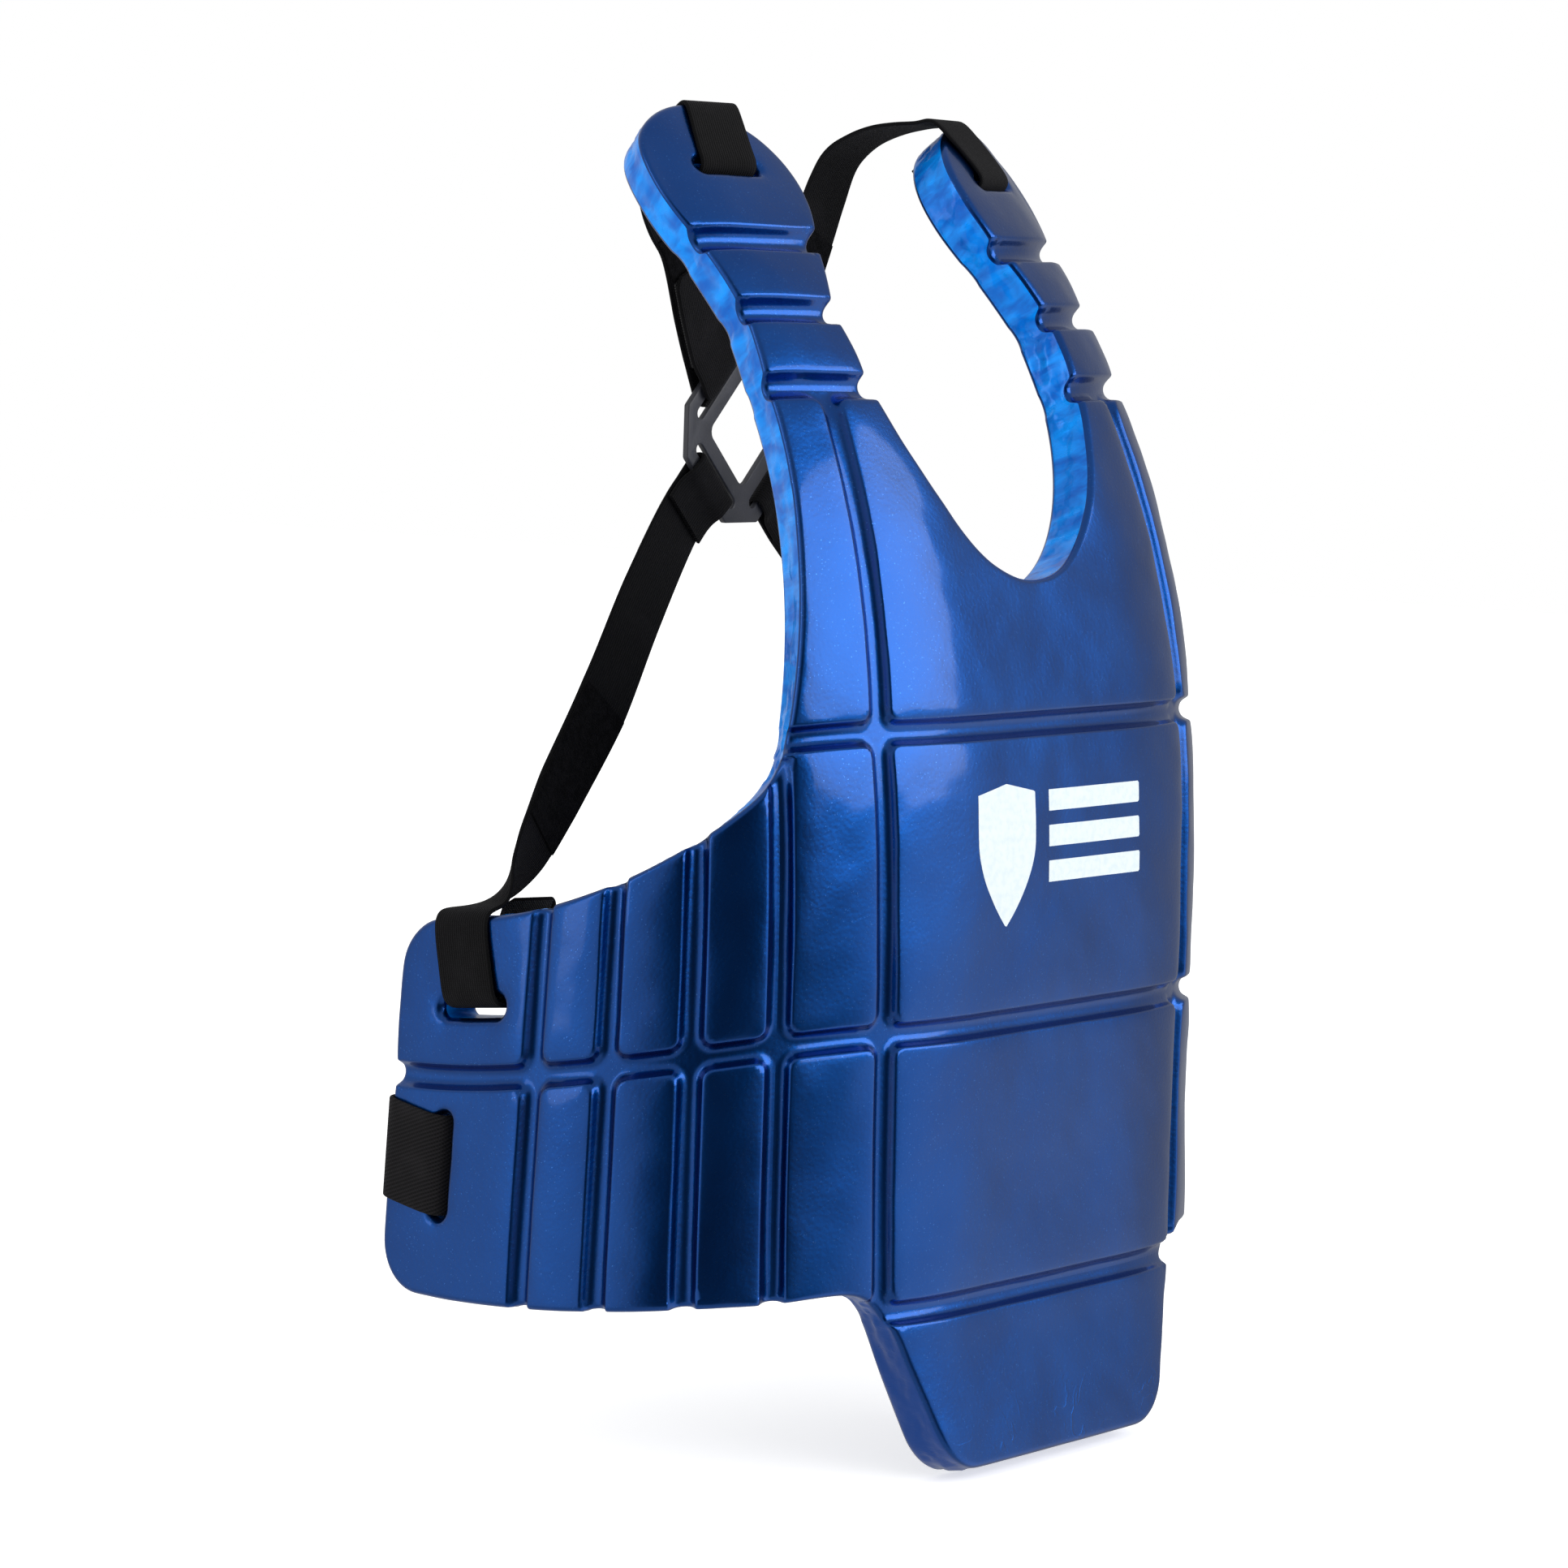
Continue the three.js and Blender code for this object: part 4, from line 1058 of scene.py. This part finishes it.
def strap_mesh(name, path, kind, narrow_ends=0.0):
    """A closed strap of one kind along a path, narrowing at its ends where asked."""
    slot, material, width, thickness, columns_across = kind
    middle, across = path
    normal = face_normals(path)
    s = arc_lengths(middle)
    section = strap_section(width, thickness, columns_across)
    n, m = len(middle), len(section)
    from_end = np.minimum(s, s[-1] - s) / MM
    pinch = 1 - narrow_ends * (1 - np.minimum(from_end / 5.0, 1)) ** 2
    aside = section[None, :, :1] * pinch[:, None, None] * across[:, None]
    points = (middle[:, None] + (aside + section[None, :, 1:] * normal[:, None]) * MM).reshape(-1, 3)
    flat_side = np.sign(section[:, 1]) * 0.01
    flat = np.stack([np.tile(section[:, 0] * MM, n), np.repeat(s, m), np.tile(flat_side, n)], 1)
    quads = []
    for k in range(0, (n - 1) * m, m):
        quads += [(k + j, k + (j + 1) % m, k + m + (j + 1) % m, k + m + j) for j in range(m)]
    caps = [tuple(range(m))[::-1], tuple(range((n - 1) * m, n * m))]

    def finish(bm):
        ends = [f for f in bm.faces if len(f.verts) > 4]
        for f in ends:
            for e in f.edges:
                e.smooth = False
        bmesh.ops.recalc_face_normals(bm, faces=bm.faces)
        bmesh.ops.triangulate(bm, faces=ends)

    piece = make_mesh(name, points, quads + caps, flat, (material,), finish)
    return piece


def join_paths(*parts):
    """Paths end to end, with the gap between one and the next left to the smoothing."""
    return tuple(np.concatenate(part) for part in zip(*parts))


def pick_path(path, chosen):
    return path[0][chosen], path[1][chosen]


def share(middle, low, high):
    """Which stations lie from share low to share high of the length."""
    s = arc_lengths(middle)
    return (s >= low * s[-1] - 1e-9) & (s <= high * s[-1] + 1e-9)


def cut_path(path, low, high):
    return pick_path(path, share(path[0], low, high))


def layer_path(path, low, high, offset, toward=(0, -1, 0)):
    """Part of a path, moved off its face."""
    middle, across = path
    normal = face_normals(path)
    sign = np.sign(normal @ np.array(toward, float))
    moved = middle + normal * (sign * offset * MM)[:, None]
    return pick_path((moved, across), share(middle, low, high))


# ---- courses of the elastics ----
PLATE_Y, PLATE_Z, PLATE_THICK = 176.0, 354.0, 3.0
DIAGONAL = math.sqrt(0.5)


def plate_knots(up, spots):
    """Knots beside a plate slot: distance out from the plate's middle, depth behind it, and slide."""
    knots = []
    for out, depth, slide in ((*s, 0.0)[:3] for s in spots):
        at = ((out - slide) * DIAGONAL, PLATE_Y + depth, PLATE_Z + up * (out + slide) * DIAGONAL)
        knots.append((at, (DIAGONAL, 0, -up * DIAGONAL)))
    return knots


TAB_LINE, WING_LINE, WAIST_LINE, WAIST_HEIGHT = 98.0, 304.0, 78.0, 54.5
TAB_LOOP = [(519, -24.2), (501, -24.2), (496.4, -23.9), (492.8, -21.6), (491.2, -17), (491.2, -4),
            (491.4, -0.6), (493, 0.9, -0.4), (499, 1.3, -1.6), (512, 1.5, -6), (521, 1.4, -9.4),
            (526, 1.0, -11.3), (528.2, -0.8, -12.2), (529, -4.4, -13)]
SHOULDER_PLATE = [
    ((45.5, 178.5, 434), (1, 0, -0.5)), ((34.5, 179.6, 409), (1, 0, -0.62)),
    *plate_knots(1, [(45, 4.6, 7.8), (39, 4.6, 5.6), (33, 4.7, 3.6), (30.6, 4.75, 2.8), (28.9, 4.1, 2.3),
                     (28.3, 2.6, 2.1), (28.1, 1.2, 2), (28.25, -0.7, 2)])]
SHOULDER_TURN = plate_knots(1, [(28.6, -1.35, 2), (29.5, -2.2, 2.4), (31, -2.4, 2.8), (34, -2, 4),
                                (38, -1.6, 5.4), (42, -1, 6.8)])
# The wearer's right elastic lies down over the tab's top edge. The left one stands off it in an arch.
SHOULDER_ROUTES = {
    "right": ([(529.2, -9, -13.6), (529.3, -14, -14), (529, -19, -14.4)], [
        ((81, 160.5, 475), (1, 0.02, 0)), ((75.5, 168, 464), (1, 0.04, -0.2)),
        ((66, 174, 453.5), (1, 0.02, -0.4)), ((56.5, 177, 444), (1, 0, -0.5)), *SHOULDER_PLATE]),
    "left": ([], [
        ((82.5, 149, 491), (1, 0.02, 0)), ((78, 160, 488.6), (1, 0.06, -0.04)),
        ((72.5, 170, 483.5), (1, 0.12, -0.08)), ((67.5, 177.4, 475.5), (1, 0.12, -0.2)),
        ((61, 180, 461), (1, 0.04, -0.38)), ((53, 179.6, 446.5), (1, 0, -0.46)), *SHOULDER_PLATE]),
}
SIDE_SPAN = [
    *plate_knots(-1, [(54, 2.2), (46, 2.1), (42, 1.2), (38, -1), (34, -1.7), (30.8, -2), (28.9, -1.4),
                      (28.2, 0), (28.1, 1.6), (28.9, 3.9), (30.8, 4.7), (34, 4.7), (42, 4.65), (54, 4.6)]),
    ((70, 175, 281), (0.72, 0.1, 0.69)), ((104, 168, 240), (0.72, 0.16, 0.68)),
    ((137, 164.5, 203), (0.72, 0.02, 0.7)), ((153.5, 165, 180.5), (0.69, -0.22, 0.69)),
    ((161.5, 168, 168.5), (0.59, -0.51, 0.62)),
    ((168.5, 170.3, 161.5), (0.33, -0.86, 0.4)), ((175.5, 171.7, 158.2), (0.08, -0.98, 0.16)),
    ((181, 172.6, 157.0), (0, -0.99, 0.12))]
WING_LOOP = [(184.6, -2.6, 9), (184.0, -0.9, 9), (182.4, 0.6, 9), (180, 1.2, 8.8), (174, 1.4, 7.8),
             (160, 1.3, 4.4), (151, 1.1, 2.2), (147.6, 0.6, 1.5), (145.2, -1.6, 1.1), (144.4, -5, 0.9),
             (144.4, -17, 0.7), (145.2, -21.4, 0.5), (147.4, -23.6, 0.4)]
WING_END = [(149, -24.2), (156, -24.4), (170, -24.5, -2), (178, -24.9, -3), (182, -25.6, -3.6),
            (185, -26.6, -4), (187.5, -28, -4.4)]
WAIST_LOOP = [(319.4, -23.7, 0.5), (317.2, -21.2), (316.4, -17), (316.4, -5), (317.2, -1.6),
              (319.6, 0.6, 0.5), (324, 1.2, 1.6), (336, 1.3, 4.2), (346.2, 1.4, 6.3), (348.8, 0.4, 6.5),
              (350, -2, 6.5), (350, -13, 6.5), (350, -15.5, 6.5)]
WAIST_TURN = [(321, -24.3, 0.8), (328, -24.4, 2.4), (338, -24.5, 4.6), (344.5, -24.9, 6)]
WAIST_HALF = [(168, 213.5), (155, 220), (138, 229), (112, 238.5), (80, 244), (40, 247)]
WAIST_COURSE = WAIST_HALF + [(0, 248)] + [(-x, y) for x, y in WAIST_HALF[::-1]]

# ---- elastics and closings ----
NARROW, WIDE = 30, 42
RIBBED = ("ribbed_elastic", ribbed_black, NARROW, 1.8, 12)   # slot, material, width, thickness, columns
WAIST = ("waist_elastic", waist_black, WIDE, 1.8, 18)
LOOPS, HOOKS = ("loop_pile", pile_black, 28.2, 1.2, 12), ("hook_tape", hook_black, 28.2, 1.2, 12)
WIDE_LOOPS, WIDE_HOOKS = ("loop_pile", pile_black, 40.3, 1.2, 18), ("hook_tape", hook_black, 40.3, 1.2, 18)
LOOP_LAYER, HOOK_LAYER, END_LAYER = 1.45, 2.65, 4.1   # heights of the layers above the strap's middle


def spot(x, y, z):
    return tuple((np.array([x, y, z]) - CENTRE) * MM)


def last_station(path):
    return pick_path(path, slice(-1, None))


def spanning_piece(name, path, kind, body, start, end, *nodes):
    """A strap or patch along a path, in place of the named CAD parts, with its placement baked in."""
    piece = strap_mesh(name, path, kind)
    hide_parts(*(nodes or [name]))
    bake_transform(piece)


def closing(stem, end, kind, narrow_ends, hooks, hook_kind):
    """A strap's end and the hook patch under it, which peel open together."""
    for name, *shape in (("_strap_end", end, kind, narrow_ends), ("_hook_patch", hooks, hook_kind)):
        piece = strap_mesh(stem + name, *shape)
        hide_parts(stem + name)
        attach(piece, stem + "_closing")


def joined(sigma, *parts, step=FINE):
    """Paths end to end as one strap, evened out, with its turns and the gaps between parts eased."""
    return smooth_path(even_out(join_paths(*parts), step), sigma)


def shoulder_elastic(name, side):
    """Through the tab's slot, over the tab, down to the plate's upper bar, round it and back up."""
    stem = f"{name}_shoulder"
    over_tab, knots = SHOULDER_ROUTES[name]
    loop = guard_path(side, TAB_LOOP + over_tab, 6, TAB_LINE, NARROW)
    span = free_path(side, knots, 16)
    root = 16 * (len(knots) - SLOT_KNOTS)
    split = root - STITCHED
    upper = joined(2.0, loop, pick_path(span, slice(split)))
    middle, at_tab, at_plate = tuple(span[0][split - 1]), tuple(span[0][0]), spot(side * 46, 180.8, 409)
    spanning_piece(stem + "_strap_upper", upper, RIBBED, f"{name}_tab", middle, at_tab,
                   stem + "_strap_loop", stem + "_strap")
    lower = even_out(join_paths(last_station(upper), pick_path(span, slice(split, None))))
    spanning_piece(stem + "_strap_lower", lower, RIBBED, "plate", middle, at_plate, stem + "_strap")
    under_loops = even_out(pick_path(span, slice(root - UNDER_LOOPS, root + 1)), COARSE)
    patch = layer_path(under_loops, 0, 1, LOOP_LAYER)
    spanning_piece(stem + "_loop_patch", patch, LOOPS, "plate", middle, at_plate)
    under_end = even_out(pick_path(span, slice(root - UNDER_HOOKS, root + 1)), COARSE)
    back = pick_path(layer_path(under_end, 0, 1, END_LAYER), slice(None, None, -1))
    end = joined(2.0, free_path(side, SHOULDER_TURN, 8), back)
    closing(stem, end, RIBBED, 0.25, layer_path(under_end, 0.02, 1, HOOK_LAYER), HOOKS)


def side_elastic(name, side):
    """From the plate's lower bar to the wing, over its top edge, through the slot and up inside."""
    stem = f"{name}_side"
    span = even_out(free_path(side, SIDE_SPAN, 14))
    split = 0.40
    upper = cut_path(span, 0, split)
    middle, at_plate, at_wing = tuple(upper[0][-1]), spot(side * 40, PLATE_Y, 314), spot(side * 163, 169, 166)
    spanning_piece(stem + "_strap_upper", upper, RIBBED, "plate", middle, at_plate, stem + "_strap")
    loop_middle, loop_across = guard_path(side, WING_LOOP, 6, WING_LINE, NARROW)
    lower = joined(2.2, last_station(upper), cut_path(span, split, 1), (loop_middle, -loop_across))
    spanning_piece(stem + "_strap_lower", lower, RIBBED, f"{name}_rear", middle, at_wing, stem + "_strap",
                   stem + "_strap_loop")
    patch = layer_path(span, 0.575, 0.83, LOOP_LAYER)
    spanning_piece(stem + "_loop_patch", patch, LOOPS, f"{name}_rear", middle, at_wing)
    end = guard_path(side, WING_END, 8, WING_LINE, NARROW)
    closing(stem, end, RIBBED, 0.25, layer_path(end, 0.55, 0.95, 1.5, (side, 0, 0.4)), HOOKS)


def waist_elastic(name, side):
    """Half the span across the back, round the rear edge and in through the upright slot."""
    stem = f"{name}_waist"
    span = free_path(side, [((x, y, WAIST_HEIGHT), (0, 0, 1)) for x, y in WAIST_COURSE], 16)
    span = pick_path(span, slice(16 * len(WAIST_HALF) + 1))
    root = guard_path(side, WAIST_LOOP, 6, WAIST_LINE, WIDE, upright=False)
    path = joined(2.5, root, span, step=0.0014)
    path[0][-1] = span[0][-1]
    middle, at_wing = tuple(span[0][-1]), spot(side * 108, 239, WAIST_HEIGHT)
    spanning_piece(stem + "_strap", path, WAIST, f"{name}_rear", middle, at_wing, stem + "_strap_loop",
                   "waist_strap")
    span = even_out(span, COARSE)
    patch = layer_path(span, 0.10, 0.55, LOOP_LAYER)
    spanning_piece(stem + "_loop_patch", patch, WIDE_LOOPS, f"{name}_rear", middle, at_wing)
    turn = guard_path(side, WAIST_TURN, 6, WAIST_LINE, WIDE, upright=False)
    end = joined(2.0, turn, layer_path(span, 0.10, 0.34, END_LAYER))
    closing(stem, end, WAIST, 0.2, layer_path(span, 0.10, 0.33, HOOK_LAYER), WIDE_HOOKS)


for name, side in SIDES:
    shoulder_elastic(name, side)
    side_elastic(name, side)
    waist_elastic(name, side)


# ---- back plate ----
def rounded_loop(corners, radius, steps=6):
    """A closed loop through the corners, each rounded."""
    corners = [Vector(c) for c in corners]
    out = []
    for i, c in enumerate(corners):
        a, b = (corners[i - 1] - c).normalized(), (corners[(i + 1) % len(corners)] - c).normalized()
        half = a.angle(b) / 2
        reach = radius / math.tan(half)
        centre = c + (a + b).normalized() * (radius / math.sin(half))
        start, end = c + a * reach - centre, c + b * reach - centre
        for k in range(steps + 1):
            d = start.lerp(end, k / steps).normalized() * radius
            out.append(tuple(centre + d))
    return out


def plate_slot(angle, out=27.6, long=19.0, radius=2.5):
    """A round-ended slot across the direction of the angle, with its end centres long apart each way."""
    away = np.array([math.cos(angle), math.sin(angle)])
    along = np.array([-away[1], away[0]])
    spots = []
    for end, start in ((1, angle), (-1, angle + math.pi)):
        centre = away * out + along * end * (long - radius)
        for b in start + np.linspace(0, math.pi, 9):
            spots.append(tuple(centre + radius * np.array([math.cos(b), math.sin(b)])))
    return spots


def back_plate():
    half, cut, bevel = 40.0, 11.5, 0.55
    corners = [(half, cut), (cut, half), (-cut, half), (-half, cut)]
    corners += [(-x, -y) for x, y in corners]
    quarters = np.arange(4) * math.pi / 2
    loops = [rounded_loop(corners, 2.0)]
    loops.append(rounded_loop([(25 * math.cos(a), 25 * math.sin(a)) for a in quarters], 4.5))
    loops += [plate_slot(math.pi / 4 + a) for a in quarters]
    curve = bpy.data.curves.new("plate_outline", "CURVE")
    curve.dimensions, curve.fill_mode = "2D", "BOTH"
    curve.extrude = (PLATE_THICK / 2 - bevel) * MM
    curve.bevel_depth, curve.bevel_resolution = bevel * MM, 2
    curve.offset = -bevel * MM
    for loop in loops:
        line = curve.splines.new("POLY")
        line.points.add(len(loop) - 1)
        line.use_cyclic_u = True
        for p, (x, y) in zip(line.points, loop):
            p.co = (x * MM, y * MM, 0, 1)
    shape = link("plate_outline", curve)
    mesh = bpy.data.meshes.new_from_object(shape)
    bpy.data.objects.remove(shape)
    mesh.transform(Matrix.Rotation(math.pi / 2, 4, "X"))
    mesh.transform(Matrix.Translation(spot(0, PLATE_Y + PLATE_THICK / 2, PLATE_Z)))

    def finish(bm):
        bmesh.ops.remove_doubles(bm, verts=bm.verts, dist=1e-6)
        sharpen(bm, 32)

    edit_mesh(mesh, finish)
    mesh.materials.clear()
    mesh.materials.append(plate_grey)
    return link("slotted_back_plate", mesh)


plate = back_plate()
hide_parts("back_plate")
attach(plate, "plate")

# ---- floor, light, world ----
def pale_floor():
    mesh = bpy.data.meshes.new("floor")
    height = cad_box[0].z - 0.0005
    mesh.from_pydata([(x, y, height) for x, y in ((-6, -6), (6, -6), (6, 6), (-6, 6))], [], [(0, 1, 2, 3)])
    n = Nodes(bpy.data.materials.new("pale_floor"))
    mottle = n.add("ShaderNodeTexNoise", {"Scale": 3.0}).outputs["Fac"]
    colour = n.blend(mottle, (0.74, 0.74, 0.74), (0.76, 0.76, 0.76))
    mesh.materials.append(n.finish(colour, 0.9, None, Emission_Color=(1, 1, 1, 1), Emission_Strength=0.55,
                                   Specular_IOR_Level=0.0))
    floor = link("floor", mesh)
    floor.visible_glossy = False
    return floor


pale_floor()


def soft_box(name, place, aim, wide, high, power):
    data = bpy.data.lights.new(name, "AREA")
    data.shape, data.size, data.size_y = "RECTANGLE", wide, high
    data.energy = power
    light = link(name, data)
    light.location = place
    light.rotation_mode = "QUATERNION"
    light.rotation_quaternion = (Vector(aim) - Vector(place)).to_track_quat("-Z", "Y")


soft_box("box_front", (0.48, -2.26, 0.79), (0, 0, 0.03), 3.25, 1.5, 49)
soft_box("box_left", (-1.9, 1.2, 0.6), (0, 0, 0.05), 0.5, 1.6, 4)

ROOM_LEVEL = 0.62
ROOM_LOBES = (   # direction, cosine where it starts, cosine where it is full, change of level
    ((-0.8, -0.59, 0.0), 0.76, 0.98, -0.56),
    ((-0.88, 0.47, -0.05), 0.8, 1.0, 0.35),
    ((0.51, -0.70, -0.5), 0.74, 1.0, 0.6),
    ((-0.2, -0.9, -0.4), 0.9, 1.0, -0.45),
    ((1.0, 0.1, 0.0), 0.5, 1.0, -0.25),
)


def studio_world():
    """White to the eye and to matt surfaces. Glossy ones see a dim room, darkest at the right front."""
    world = bpy.data.worlds.new("studio")
    bpy.context.scene.world = world
    n = Nodes(world)
    place = n.add("ShaderNodeTexCoord").outputs["Generated"]
    level = ROOM_LEVEL
    for direction, start, end, change in ROOM_LOBES:
        inputs = {0: place, 1: Vector(direction).normalized()}
        toward = n.add("ShaderNodeVectorMath", inputs, operation="DOT_PRODUCT").outputs["Value"]
        level = n.plus(level, n.between(toward, start, end, 0.0, change))
    glossy = n.add("ShaderNodeLightPath").outputs["Is Glossy Ray"]
    n.put(n.tree.nodes["Background"].inputs["Color"], n.blend(glossy, (1, 1, 1), level))


studio_world()
bpy.context.scene.view_settings.view_transform = "Standard"
